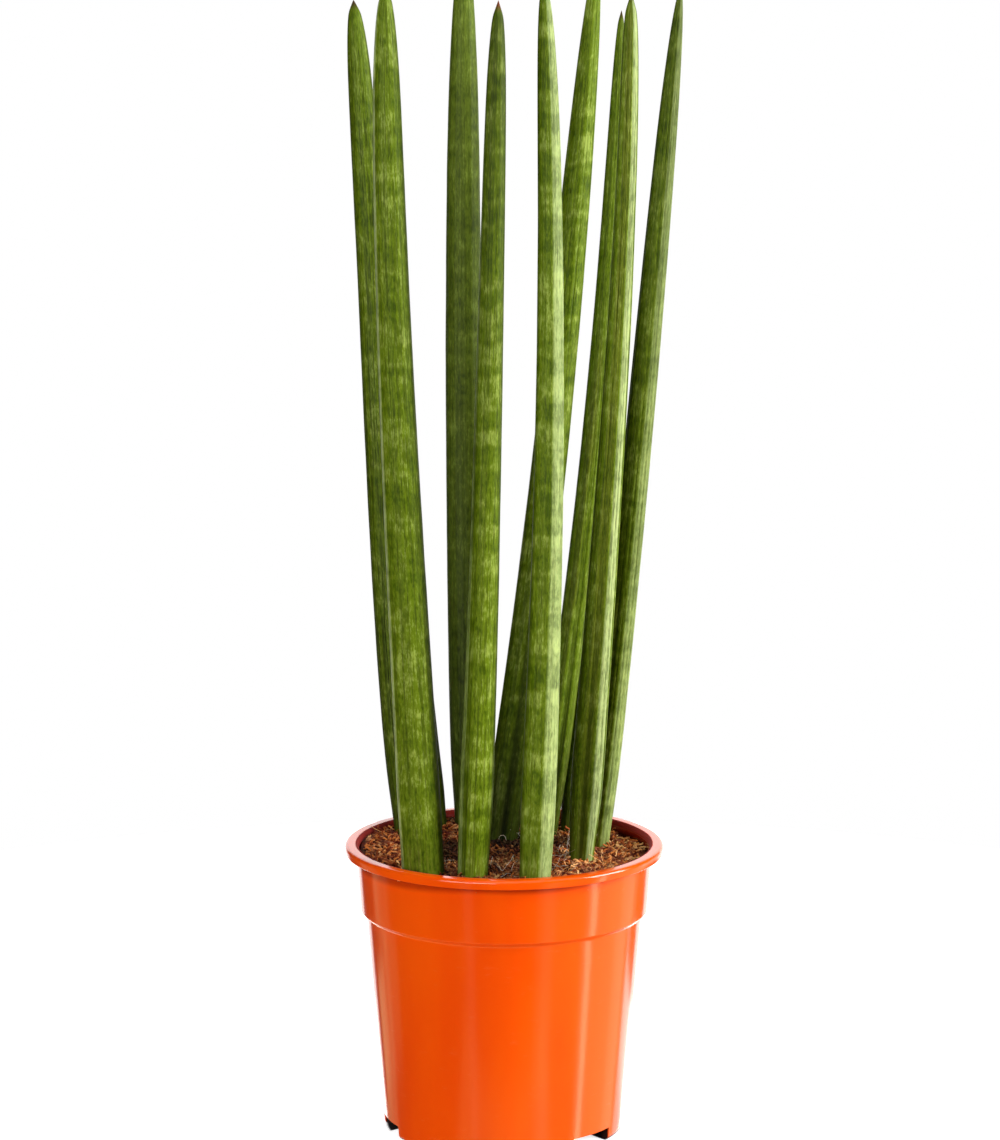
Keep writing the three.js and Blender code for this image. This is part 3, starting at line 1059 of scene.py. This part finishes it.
@dataclass(frozen=True, kw_only=True)
class Litter:
    """Loose pieces of one kind, scattered over the top of the bed; sizes in millimetres.

    `tilt` and `roll` are how far a piece may lean, in radians. `spots` are the places that the
    pieces keep to, each with its radius; without any they lie everywhere.
    """

    name: str
    count: int
    seed: int
    tilt: float
    roll: float
    spots: tuple[Point, ...] = ()

    SOCKETS = {
        "Bed": Kind.OBJECT, "Count": Kind.NUMBER, "Area": Kind.NUMBER,
        "Seed": Kind.COUNT, "Material": Kind.MATERIAL,
    }
    REACH = 74 * MM
    EDGE = 0.5 * MM
    AREA = math.pi * REACH ** 2

    @staticmethod
    def draw(graph: GeometryGraph, low: Point, high: Point, seed: int) -> Vec:
        """A random vector for each point.

        Args:
            graph: The tree.
            low: Lowest value of each part.
            high: Highest value of each part.
            seed: Seed of this draw.

        Returns:
            The vector.
        """
        made = graph.node("FunctionNodeRandomValue", {"data_type": "FLOAT_VECTOR"},
                          {0: low, 1: high, "Seed": seed})
        return graph.vec(made, 0)

    def scatter(
        self, graph: GeometryGraph, shape: bpy.types.Node, scale: Vec, seed: int
    ) -> bpy.types.Node:
        """Sets copies of a shape on random points of the bed's top.

        Args:
            graph: The tree, with the inputs of SOCKETS.
            shape: The node that makes the shape.
            scale: Scale of the copies.
            seed: Seed of their turns.

        Returns:
            The node that gives the copies, real, each with a random number "tint" of its own.
        """
        bed = graph.node("GeometryNodeObjectInfo", {"transform_space": "RELATIVE"},
                         {"Object": graph.input("Bed")})
        upward = graph.vec(graph.node("GeometryNodeInputNormal")).parts()[2]
        flat = graph.here() * (1.0, 1.0, 0.0)
        inside = flat.length().ramp(self.REACH - self.EDGE, self.REACH + self.EDGE, 1.0, 0.0)
        chosen = graph.node("FunctionNodeCompare", {"data_type": "FLOAT"},
                            {0: upward.ramp(0.3, 0.31) * inside, 1: 0.5})
        density = graph.number("Count") / graph.number("Area")
        if self.spots:
            near: object = 0.0
            for spot in self.spots:
                x, y, radius = (part * MM for part in spot)
                far = (flat - (x, y, 0.0)).length()
                near = far.ramp(radius * 0.5, radius, 1.0, 0.0).at_least(near)
            density = density * near
        points = graph.node("GeometryNodeDistributePointsOnFaces", inputs={
            "Mesh": bed.outputs["Geometry"], "Selection": chosen,
            "Density": density, "Seed": graph.input("Seed"),
        })
        tint = graph.node("FunctionNodeRandomValue", {"data_type": "FLOAT"},
                          {"Seed": graph.input("Seed")})
        low, high = (-self.tilt, -self.roll, 0.0), (self.tilt, self.roll, TURN)
        copies = graph.node("GeometryNodeInstanceOnPoints", inputs={
            "Points": points, "Instance": shape,
            "Rotation": self.draw(graph, low, high, seed), "Scale": scale,
        })
        tinted = graph.store(copies, "tint", graph.num(tint, 1), "INSTANCE")
        return graph.node("GeometryNodeRealizeInstances", inputs={0: tinted})

    def lay(
        self, bed: bpy.types.Object, material: bpy.types.Material, graph: GeometryGraph, **sizes: float
    ) -> None:
        """Runs the tree over the bed and settles what it makes.

        Args:
            bed: The soil's bed.
            material: The pieces' material.
            graph: The tree.
            sizes: Its further inputs.
        """
        count = float(self.count)
        if self.spots:
            share = sum((radius * MM) ** 2 for _, _, radius in self.spots) * math.pi / self.AREA
            count = self.count / share
        values = {"Bed": bed, "Area": self.AREA, "Count": count, "Seed": self.seed, "Material": material}
        settle(graph.run(self.name, {**values, **sizes}))


@dataclass(frozen=True, kw_only=True)
class Lumps(Litter):
    """Broken lumps, with their least and greatest half length, half width and half thickness.

    `lift` is how far a lump's middle lies over the bed, `rough` how far its corners are pushed.
    """

    least: Point
    greatest: Point
    lift: float
    rough: float
    tilt: float = 0.7
    roll: float = 0.7

    WAVES = 420.0

    def build(self, bed: bpy.types.Object, material: bpy.types.Material) -> None:
        """Builds the lumps.

        Args:
            bed: The bed that they lie on.
            material: Their material.
        """
        graph = GeometryGraph("lumps", self.SOCKETS)
        lump = graph.node("GeometryNodeMeshIcoSphere", inputs={"Radius": 1.0, "Subdivisions": 1})
        low, high = (tuple(part * MM for part in size) for size in (self.least, self.greatest))
        real = self.scatter(graph, lump, self.draw(graph, low, high, 6), 5)
        push = graph.node("ShaderNodeTexNoise", inputs={
            "Vector": graph.here(), "Scale": self.WAVES, "Detail": 1.0,
        })
        offset = (graph.vec(push, "Color") - (0.5, 0.5, 0.5)).scaled(2.0 * self.rough * MM)
        moved = graph.node("GeometryNodeSetPosition", inputs={
            "Geometry": real, "Offset": offset + (0.0, 0.0, self.lift * MM),
        })
        graph.finish(moved, smooth=False)
        self.lay(bed, material, graph)


@dataclass(frozen=True, kw_only=True)
class Strands(Litter):
    """Thin curled strands; `curl` is how far they are pushed off their line, `waves` how often."""

    length: float
    thickness: float
    curl: float
    waves: float
    tilt: float = 0.3

    POINTS = 11
    SHORTEST = 0.45
    LONGEST = 1.25

    def build(self, bed: bpy.types.Object, material: bpy.types.Material) -> None:
        """Builds the strands.

        Args:
            bed: The bed that they lie on.
            material: Their material.
        """
        sizes = {"Length": Kind.NUMBER, "Thickness": Kind.NUMBER}
        graph = GeometryGraph("strands", {**self.SOCKETS, **sizes})
        line = graph.node("GeometryNodeCurvePrimitiveLine", inputs={
            "Start": (-0.5, 0.0, 0.0), "End": (0.5, 0.0, 0.0),
        })
        fine = graph.node("GeometryNodeResampleCurve", inputs={
            "Curve": line, "Count": self.POINTS,
        })
        size = self.draw(graph, (self.SHORTEST,) * 3, (self.LONGEST,) * 3, 8).parts()[0]
        length = size * graph.number("Length")
        real = self.scatter(graph, fine, graph.join(length, length, length), 9)
        place = graph.here()
        index = graph.num(graph.node("GeometryNodeInputIndex"))
        strand = (index / float(self.POINTS) + 0.001).floor()
        push = graph.node("ShaderNodeTexNoise", inputs={
            "Vector": place + graph.join(strand * 0.37, strand * 0.11, strand * 0.05),
            "Scale": self.waves, "Detail": 1.5,
        })
        offset = (graph.vec(push, "Color") - (0.5, 0.5, 0.40)).scaled(2.0 * self.curl * MM)
        moved = graph.node("GeometryNodeSetPosition", inputs={"Geometry": real, "Offset": offset})
        ring = graph.node("GeometryNodeCurvePrimitiveCircle", inputs={
            "Resolution": 3, "Radius": graph.input("Thickness"),
        })
        tube = graph.node("GeometryNodeCurveToMesh", inputs={
            "Curve": moved, "Profile Curve": ring, "Fill Caps": True,
        })
        graph.finish(tube)
        self.lay(bed, material, graph, Length=self.length * MM, Thickness=self.thickness * MM)


@dataclass
class Soil:
    """Coir potting mix: the bed, chips, crumbs, fibres and the fine white root hairs."""

    pot: Pot
    level: float = 149 * MM
    rise: float = 1.1 * MM
    slope_x: float = -0.035
    slope_y: float = 0.018
    gap: float = 0.3 * MM
    rings: int = 72
    sides: int = 200

    WAVES = (7.3, 6.1, 11.7)
    SHIFTS = (1.1, -0.4)
    FINISH = CoirFinish(
        "coir_bed", dark=srgb(34, 12, 6), middle=srgb(84, 38, 18), light=srgb(140, 78, 42)
    )
    COIR = CoirFinish("coir_chips", tinted=True)
    HUSK = CoirFinish(
        "coir_fibre", dark=srgb(126, 54, 18), middle=srgb(214, 124, 58),
        light=srgb(252, 196, 128), tinted=True,
    )
    ROOT = CoirFinish(
        "root_hair", dark=srgb(164, 146, 124), middle=srgb(216, 204, 186),
        light=srgb(244, 238, 226), tinted=True, rust=0.0, shadow_spots=(),
    )
    ROOTED = ((36, -6, 13), (3, 34, 14), (-30, -38, 9), (-3, -46, 9), (26, -36, 10))
    LITTER = {
        COIR: (
            Lumps(name="coir_chips", count=900, seed=41, least=(1.5, 0.8, 0.45),
                  greatest=(4.5, 2.2, 1.2), lift=0.4, rough=0.9),
            Lumps(name="coir_crumbs", count=5200, seed=42, least=(0.45, 0.3, 0.3),
                  greatest=(2.2, 1.2, 1.0), lift=0.5, rough=0.6),
        ),
        HUSK: (
            Strands(name="coir_fibres", count=1900, seed=43, length=7, thickness=0.6,
                    curl=3.2, waves=230.0, roll=0.6),
            Strands(name="coir_threads", count=500, seed=46, length=13, thickness=0.14,
                    curl=5.0, waves=100.0, roll=0.8),
        ),
        ROOT: (
            Strands(name="root_hairs", count=105, seed=44, length=24, thickness=0.12,
                    curl=8.0, waves=60.0, roll=1.0, spots=ROOTED),
        ),
    }

    def height(self, x: float, y: float) -> float:
        """Height of the surface, without its crumb.

        Args:
            x: Place across.
            y: Place in depth.

        Returns:
            The height over the floor.
        """
        across, deep = x / MM, y / MM
        bumps = math.sin(across / self.WAVES[0] + self.SHIFTS[0])
        bumps *= math.cos(deep / self.WAVES[1] + self.SHIFTS[1])
        bumps += math.sin((across + deep) / self.WAVES[2])
        return self.level + self.slope_x * x + self.slope_y * y + self.rise * 0.5 * bumps

    def crumbly(self, x: float, y: float) -> float:
        """Height of the surface with its crumb.

        Args:
            x: Place across.
            y: Place in depth.

        Returns:
            The height over the floor.
        """
        spot = Vector((x, y, 0.0))
        coarse = noise.noise(spot * 190.0) * 1.3
        fine = noise.noise(spot * 520.0 + Vector((7.0, 3.0, 1.0))) * 0.7
        return self.height(x, y) + (coarse + fine) * MM

    def bed(self) -> bpy.types.Object:
        """Builds the bed, which fills the pot.

        Returns:
            The bed, in the soil node's place.
        """
        work = bmesh.new()
        floor = self.pot.floor_under + self.pot.floor_thick + self.gap
        edge = self.pot.inner(self.level - 5 * MM) - self.gap
        levels = [floor, floor + 2 * MM, self.pot.step_foot, self.pot.step_top]
        rings = []
        for z, back in zip(levels, [2.0 * MM, 0.5 * MM, self.gap, self.gap]):
            rings.append(ring_of(work, self.pot.inner(z) - back, self.sides, lambda x, y, z=z: z))
        for ring in range(self.rings):
            rings.append(ring_of(work, edge * (1 - ring / self.rings), self.sides, self.crumbly))
        stitch(work, rings, self.sides)
        bottom = work.verts.new((0.0, 0.0, floor))
        top = work.verts.new((0.0, 0.0, self.height(0.0, 0.0)))
        for side in range(self.sides):
            after = (side + 1) % self.sides
            work.faces.new((bottom, rings[0][after], rings[0][side]))
            work.faces.new((top, rings[-1][side], rings[-1][after]))
        mesh = keep_mesh(work, "soil_bed")
        mesh.shade_smooth()
        mesh.materials.append(self.FINISH.material())
        piece = bpy.data.objects.new("soil_bed", mesh)
        bpy.context.scene.collection.objects.link(piece)
        return settle(piece, "soil")

    def build(self) -> None:
        """Builds the bed and everything that lies on it."""
        bed = self.bed()
        for finish, kinds in self.LITTER.items():
            material = finish.material()
            for kind in kinds:
                kind.build(bed, material)


@dataclass(frozen=True)
class Leaf:
    """One leaf: from its foot on the soil to its tip, with its bend, its size and its skin."""

    name: str
    foot: tuple[float, float]
    tip: Point
    bow: tuple[float, float]
    sway: float
    radius: float
    taper: float
    point: float
    furrow: float
    skin: LeafSkin
    waist: float = 0.86
    ridge: float = 0.22

    BURIED = 22 * MM
    SIDES = 128
    BANDS = 220
    TALL = 500.0
    RIDGES = 16.0
    FURROW_DEPTH = 0.24

    def build(self, soil: Soil, tree: GeometryGraph, seed: int) -> bpy.types.Object:
        """Builds the leaf and puts it in its node's place.

        Args:
            soil: The soil that it stands in.
            tree: The sweep that all leaves share.
            seed: Seed of its small unevenness.

        Returns:
            The finished leaf.
        """
        x, y = self.foot[0] * MM, self.foot[1] * MM
        piece = tree.run(f"{self.name}_skin", {
            "Foot": [x, y, soil.height(x, y)],
            "Tip": [part * MM for part in self.tip],
            "Bow": [self.bow[0] * MM, self.bow[1] * MM, 0.0],
            "Sway": self.sway * MM,
            "Radius": self.radius * MM,
            "Taper": self.taper,
            "Point": float(self.point),
            "Waist": self.waist,
            "Furrow": math.radians(self.furrow),
            "Furrow Depth": self.FURROW_DEPTH,
            "Ridges": self.RIDGES,
            "Ridge Depth": self.ridge * MM,
            "Buried": self.BURIED,
            "Sides": self.SIDES,
            "Bands": self.BANDS if self.tip[2] > self.TALL else self.BANDS // 2,
            "Seed": float(seed),
            "Material": self.skin.material(),
        })
        return settle(piece, self.name)


class LeafSweep:
    """The geometry tree that grows a ridged, pointed, furrowed leaf along its middle line."""

    WAIST_REACH = 0.06
    FURROW_HALF_WIDTH = math.radians(20)
    FURROW_REACH = 0.42
    TIP_SLOPE = 30.0
    TIP_SOFTNESS = 0.12
    TIP_CLOSED = 0.9985
    BUTT_REACH = 0.009
    CROWDING = 1.3
    SWAY_PEAK = 6.0 * math.sqrt(3.0)
    WARPS = ((0.09, 3.0, 1.0), (0.05, 5.0, 2.3))
    DRIFT = 0.14
    SWELL = 0.035
    GROOVE_POWER = 0.42
    GROOVE_LIMIT = 0.12
    WELD = 0.0015 * MM

    @classmethod
    def build(cls) -> GeometryGraph:
        """Builds the tree.

        Returns:
            The tree, with a leaf's sizes as its inputs.
        """
        numbers = ["Sway", "Radius", "Taper", "Point", "Waist", "Furrow", "Furrow Depth"]
        numbers += ["Ridges", "Ridge Depth", "Buried", "Seed"]
        graph = GeometryGraph("leaf_sweep", {
            "Foot": Kind.PLACE, "Tip": Kind.PLACE, "Bow": Kind.PLACE,
            "Sides": Kind.COUNT, "Bands": Kind.COUNT, "Material": Kind.MATERIAL,
            **{name: Kind.NUMBER for name in numbers},
        })
        sheet = graph.node("GeometryNodeMeshGrid", inputs={
            "Size X": 1.0, "Size Y": 1.0,
            "Vertices X": graph.number("Sides") + 1.0,
            "Vertices Y": graph.number("Bands") + 1.0,
        })
        across, down, _ = graph.here().parts()
        angle = (across + 0.5) * TURN
        run = 1.0 - (1.0 - (down + 0.5)).at_least(0.0) ** cls.CROWDING
        span = graph.place("Tip") - graph.place("Foot")
        length = span.parts()[2]
        below = graph.number("Buried") / length
        t = run * (1.0 + below) - below
        up = t.at_least(0.0)

        seed = graph.number("Seed")
        bend = t * (1.0 - t)
        middle = graph.place("Foot") + span.scaled(t) + graph.place("Bow").scaled(bend * 4.0)
        swing = bend * (1.0 - t * 2.0) * cls.SWAY_PEAK * graph.number("Sway")
        middle = middle + graph.join(swing, 0.0, 0.0)

        closing = ((1.0 - up ** graph.number("Point")).at_least(0.0)) ** 0.5
        closing = closing.soft_min((1.0 - up) * cls.TIP_SLOPE, cls.TIP_SOFTNESS).at_least(0.0)
        closing = closing * up.ramp(cls.TIP_CLOSED, 1.0, 1.0, 0.0, soft=False)
        waist = 1.0 - (1.0 - graph.number("Waist")) * (-((up / cls.WAIST_REACH) ** 2.0)).exp()
        butt = (1.0 - (1.0 - run.ramp(0.0, cls.BUTT_REACH, soft=False)) ** 2.0) ** 0.5
        body = graph.number("Radius") * (1.0 - graph.number("Taper") * up)
        body = body * closing * waist * butt

        turn = angle - graph.number("Furrow")
        away = turn.sin().atan2(turn.cos()) / cls.FURROW_HALF_WIDTH
        hollow = (-(away ** 2.0)).exp() * (-((up / cls.FURROW_REACH) ** 2.0)).exp()
        hollow = hollow * graph.number("Furrow Depth")

        drift = graph.noise(graph.join(up * 2.2, seed * 1.7, 0.0), 1.0, 1.0) - 0.5
        warped = angle
        for depth, waves, shift in cls.WARPS:
            warped = warped + depth * (angle * waves + seed * shift).sin()
        warped = warped + drift * cls.DRIFT
        wave = (warped * graph.number("Ridges") * 0.5).sin()
        groove = 1.0 - abs(wave) ** cls.GROOVE_POWER
        shown = up.ramp(0.0, 0.16, 0.45, 1.0) * up.ramp(0.93, 0.995, 1.0, 0.2)
        swell = graph.noise(graph.join(up * 13.0, seed * 4.1, angle.sin() * 0.3), 1.0, 1.0) - 0.5
        radius = body * (1.0 - hollow) * (1.0 + swell * cls.SWELL)
        cut = groove * shown * graph.number("Ridge Depth")
        radius = radius - cut.at_most(body * cls.GROOVE_LIMIT)

        spot = middle + graph.join(angle.cos() * radius, angle.sin() * radius, 0.0)
        skin = graph.store(sheet, "skin_rib", graph.join(wave, up, hollow))
        place = graph.join(angle.cos(), angle.sin(), t * length)
        skin = graph.store(skin, "skin_place", place)
        moved = graph.node("GeometryNodeSetPosition", inputs={"Geometry": skin, "Position": spot})
        graph.finish(graph.node("GeometryNodeMergeByDistance", inputs={
            "Geometry": moved, "Distance": cls.WELD,
        }))
        return graph


class Leaves:
    """The eleven leaves."""

    # Pale colour of the leaves' own left margins and of the painted sheen stripes on their right-front
    # flanks.
    PALE_MARGIN_AND_SHEEN = srgb(200, 216, 152)
    BROWN = srgb(104, 98, 32)

    @classmethod
    def plans(cls) -> list[Leaf]:
        """The leaves with their own sizes, in millimetres, and skins.

        After the name come foot, tip, bow, sway, radius, taper, point, furrow and skin.

        Returns:
            The leaves from left to right.
        """
        return [
            Leaf("leaf_left_back", (-51.5, 33), (-79.5, 48, 599.5), (-1.5, 1), -1.5, 9.0, 0.20, 14, -60,
                 LeafSkin("skin_left_back", 1.3, banding=0.6, ribbing=1.3, tone_and_shade=(0.47, 0.98),
                          flank_shade=(0.6, 0.3))),
            Leaf("leaf_left_front", (-42.5, -45), (-59.5, -62, 608.5), (-2.7, -3), 0.4, 12.0, 0.42, 15, 160,
                 LeafSkin("skin_left_front", 2.9, tone_and_shade=(0.87, 0.96), flank_shade=(0.0, 0.6),
                          stripes=(Stripe(-157, 12, 0.55, cls.PALE_MARGIN_AND_SHEEN),)), 0.95),
            Leaf("leaf_left_short", (-37.5, 51), (-55, 61, 385), (-2.5, 1), 0.0, 7.4, 0.35, 9, -90,
                 LeafSkin("skin_left_short", 4.1, tone_and_shade=(0.5, 1.0))),
            Leaf("leaf_centre_back", (-18, 56), (-21.5, 74, 629), (-2, 3), -0.2, 10.5, 0.10, 6, 80,
                 LeafSkin("skin_centre_back", 5.7, banding=0.7, ribbing=0.7, tone_and_shade=(0.42, 1.42),
                          dark=srgb(57, 71, 14), middle=srgb(83, 99, 26), light=srgb(117, 135, 52))),
            Leaf("leaf_centre_front", (-16.5, -50), (-3, -66, 601.5), (1.2, -2), 0.3, 9.4, 0.47, 18, -140,
                 LeafSkin("skin_centre_front", 7.9, banding=1.05, tone_and_shade=(1.12, 0.52),
                          stripes=(Stripe(-160, 9, 0.3, cls.PALE_MARGIN_AND_SHEEN),), flank_shade=(0.5, 0.6),
                          tip_colour=srgb(120, 60, 40))),
            # Its pale stripe at -40 degrees is a painted highlight from the light on the right.
            Leaf("leaf_middle_front", (16, -52), (20, -40, 610), (5, -3), -0.4, 9.6, 0.45, 15, 120,
                 LeafSkin("skin_middle_front", 9.2, banding=1.4, ribbing=0.6, tone_and_shade=(0.96, 0.92),
                          stripes=(Stripe(-40, 44, 0.45, cls.PALE_MARGIN_AND_SHEEN),), flank_shade=(0.6, 0.0))),
            Leaf("leaf_middle_back", (-2, 28), (49, 42, 624), (4, 2), 0.5, 11.0, 0.30, 5, -92,
                 LeafSkin("skin_middle_back", 11.4, banding=1.1, ribbing=0.7, tone_and_shade=(0.7, 1.15),
                          foot=0.34), ridge=0.35),
            Leaf("leaf_right_back", (22, 42), (62, 50, 594), (6, 1), 0.0, 7.8, 0.50, 12, -75,
                 LeafSkin("skin_right_back", 13.8, banding=0.6, brown=0.3, foot=0.4)),
            Leaf("leaf_right_short", (36.2, 50), (56, 57, 385), (1.4, 1), 0.0, 6.8, 0.35, 9, -90,
                 LeafSkin("skin_right_short", 15.1, brown=0.4, tone_and_shade=(0.6, 1.0), foot=0.6)),
            # Its pale stripe at -50 degrees is a painted highlight from the light on the right; the brown
            # one is its own mark.
            Leaf("leaf_right_front", (41, -10), (64.5, -26, 605), (3.5, -1), -0.7, 9.2, 0.53, 25, -100,
                 LeafSkin("skin_right_front", 17.6, banding=0.7, ribbing=1.0, tone_and_shade=(0.86, 0.95),
                          stripes=(Stripe(-100, 26, 0.3, cls.BROWN), Stripe(-50, 24, 0.6, cls.PALE_MARGIN_AND_SHEEN)),
                          flank_shade=(0.6, 0.0)), 0.72, 0.5),
            # Its pale stripe at -40 degrees is a painted highlight from the light on the right.
            Leaf("leaf_far_right", (49.5, 22), (89.9, -18, 606.5), (1.2, -2), 0.4, 8.1, 0.19, 5, -112,
                 LeafSkin("skin_far_right", 19.3, banding=1.0, ribbing=0.8, tone_and_shade=(0.94, 0.52),
                          stripes=(Stripe(-40, 40, 0.3, cls.PALE_MARGIN_AND_SHEEN),), flank_shade=(0.6, 0.0),
                          tip_colour=srgb(84, 74, 40)), ridge=0.45),
        ]

    @classmethod
    def build(cls, soil: Soil) -> None:
        """Builds every leaf.

        Args:
            soil: The soil that they stand in.
        """
        tree = LeafSweep.build()
        for number, leaf in enumerate(cls.plans()):
            leaf.build(soil, tree, 3 + 7 * number)


# ---------------------------------------------------------------- studio


@dataclass(frozen=True)
class SoftBox:
    """A plain soft light that stands round the plant and faces its axis."""

    name: str
    azimuth: float
    distance: float
    height: float
    size: tuple[float, float]
    glow: float
    aim_height: float | None = None
    tint: tuple[float, float, float] = (1.0, 1.0, 1.0)
    flat: bool = False

    WATTS_PER_GLOW = 4.0

    def build(self) -> None:
        """Hangs the light, turned towards the plant's axis."""
        lamp = bpy.data.lights.new(self.name, "AREA")
        lamp.shape = "RECTANGLE"
        lamp.size, lamp.size_y = self.size
        lamp.energy = self.WATTS_PER_GLOW * self.glow * self.size[0] * self.size[1]
        lamp.color = self.tint
        holder = bpy.data.objects.new(self.name, lamp)
        turn = math.radians(self.azimuth)
        place = Vector((math.sin(turn), -math.cos(turn), 0.0)) * self.distance
        place.z = self.height
        aim = Vector((0.0, 0.0, self.height if self.aim_height is None else self.aim_height))
        if self.flat:
            aim = place + Vector((0.0, 0.0, 1.0))
        holder.location = place
        holder.rotation_euler = (aim - place).to_track_quat("-Z", "Y").to_euler()
        holder.visible_camera = False
        bpy.context.scene.collection.objects.link(holder)


@dataclass
class Studio:
    """Floor, lights, surroundings and camera."""

    rim_height: float = 155 * MM
    camera_distance: float = 2.0
    camera_pitch: float = 9.68
    camera_aim_over_rim: float = 147.4 * MM
    camera_side: float = -2.2 * MM
    lens: float = 119.6
    sensor: float = 36.0
    floor_radius: float = 0.7
    shade_radius: float = 65 * MM
    surround: float = 0.04

    PEACH = (1.0, 0.95, 0.64)
    AMBER = (1.0, 0.84, 0.42)
    CREAM = (1.0, 0.93, 0.78)
    ORANGE = (1.0, 0.70, 0.22)
    LIGHTS = (
        SoftBox("key_box", 80, 1.7, 0.80, (1.0, 0.9), 14.5, 0.2),
        SoftBox("front_fill", -26, 1.7, 0.62, (1.2, 0.8), 5.3, 0.2),
        SoftBox("top_box", 30, 0.7, 1.60, (1.6, 1.6), 0.8, 0.2),
        SoftBox("front_right_card", 46, 1.5, -0.47, (1.1, 0.7), 0.2, tint=PEACH),
        SoftBox("front_right_glint", 36, 1.48, -0.47, (0.25, 0.7), 0.3, tint=PEACH),
        SoftBox("right_strip", 75, 1.47, -0.47, (0.14, 0.7), 3.6, tint=PEACH),
        SoftBox("right_halo", 76, 1.48, -0.47, (0.45, 0.7), 0.7, tint=PEACH),
        SoftBox("right_card", 104, 1.5, -0.47, (1.05, 0.7), 0.78, tint=PEACH),
        SoftBox("right_far_card", 118, 1.48, -0.47, (0.6, 0.7), 0.35, tint=PEACH),
        SoftBox("right_upper_card", 131, 1.5, 0.01, (1.1, 0.58), 0.9),
        SoftBox("right_low_card", 145, 1.5, -0.475, (0.85, 0.11), 2.1),
        SoftBox("right_foot_card", 145, 1.5, -0.69, (0.85, 0.32), 1.2),
        SoftBox("back_panel", 178.5, 1.5, 0.25, (1.77, 2.2), 1.4),
        SoftBox("left_strip", -28, 1.5, -0.47, (0.18, 0.7), 0.25, tint=PEACH),
        SoftBox("left_card", -114, 1.5, -0.335, (0.52, 0.43), 0.33, tint=AMBER),
        SoftBox("left_far_card", -121, 1.49, -0.335, (0.20, 0.43), 0.3, tint=AMBER),
        SoftBox("left_low_card", -134, 1.5, -0.47, (0.42, 0.12), 0.8, tint=AMBER),
        SoftBox("left_foot_card", -136, 1.5, -0.69, (0.75, 0.32), 0.36, tint=AMBER),
        SoftBox("floor_card", 180, 1.07, -0.5, (1.3, 1.3), 1.7, tint=CREAM, flat=True),
        SoftBox("front_floor_card", 0, 0.35, -0.5, (1.5, 1.5), 0.8, tint=ORANGE, flat=True),
    )

    @staticmethod
    def disc(name: str, radius: float, sides: int, finish: FloorFinish) -> bpy.types.Object:
        """Makes a flat round sheet on the ground.

        Args:
            name: Its name.
            radius: Its radius.
            sides: How many straight edges its outline has.
            finish: Its surface.

        Returns:
            The sheet.
        """
        bpy.ops.mesh.primitive_circle_add(vertices=sides, radius=radius, fill_type="NGON")
        sheet = bpy.context.object
        sheet.name = name
        sheet.data.materials.append(finish.material())
        return sheet

    def floor(self) -> None:
        """Lays the floor, a plain round sweep, and the shade under the pot."""
        floor = self.disc("floor", self.floor_radius, 128, FloorFinish("pale_floor"))
        floor.visible_diffuse = floor.visible_glossy = floor.visible_shadow = False
        dark = FloorFinish("dark_shade", white=0.02, glow=0.0)
        shade = self.disc("shade_under_pot", self.shade_radius, 64, dark)
        shade.data.transform(Matrix.Translation((0.0, 0.0, -1 * MM)))

    def surroundings(self) -> None:
        """Makes the room white behind the plant and dim round it."""
        world = bpy.data.worlds.new("white_room")
        world.use_nodes = True
        world.node_tree.nodes.clear()
        graph = Graph(world.node_tree)
        seen = graph.num(graph.node("ShaderNodeLightPath"), "Is Camera Ray")
        strength = seen * (1.0 - self.surround) + self.surround
        sky = graph.node("ShaderNodeBackground", inputs={"Color": (1, 1, 1, 1), "Strength": strength})
        graph.node("ShaderNodeOutputWorld", inputs={"Surface": sky})
        bpy.context.scene.world = world

    def camera(self) -> None:
        """Sets up the camera, looking slightly down on the plant."""
        lens = bpy.data.cameras.new("camera")
        lens.sensor_width = self.sensor
        lens.lens = self.lens
        lens.clip_end = 50.0
        holder = bpy.data.objects.new("camera", lens)
        pitch = math.radians(self.camera_pitch)
        aim_height = self.rim_height + self.camera_aim_over_rim
        holder.location = (
            self.camera_side,
            -self.camera_distance * math.cos(pitch),
            aim_height + self.camera_distance * math.sin(pitch),
        )
        holder.rotation_euler = (math.pi / 2 - pitch, 0.0, 0.0)
        bpy.context.scene.collection.objects.link(holder)
        bpy.context.scene.camera = holder

    def build(self) -> None:
        """Builds the whole studio."""
        self.floor()
        self.surroundings()
        self.camera()
        for light in self.LIGHTS:
            light.build()
        settings = bpy.context.scene.view_settings
        settings.view_transform = "Standard"
        settings.look = "None"
        log.info("studio: %d lights", len(self.LIGHTS))


def clear_startup() -> None:
    """Takes Blender's own first objects out of the scene."""
    kept = set(frame["nodes"].values()) | set(frame["bodies"].values())
    for thing in list(bpy.data.objects):
        if thing not in kept:
            bpy.data.objects.remove(thing)


def main() -> None:
    """Builds the plant, then the studio."""
    logging.basicConfig(level=logging.INFO, format="%(name)s: %(message)s")
    clear_startup()
    pot = Pot()
    pot.build()
    soil = Soil(pot)
    soil.build()
    Leaves.build(soil)
    Studio().build()


if __name__ == "__main__":
    main()
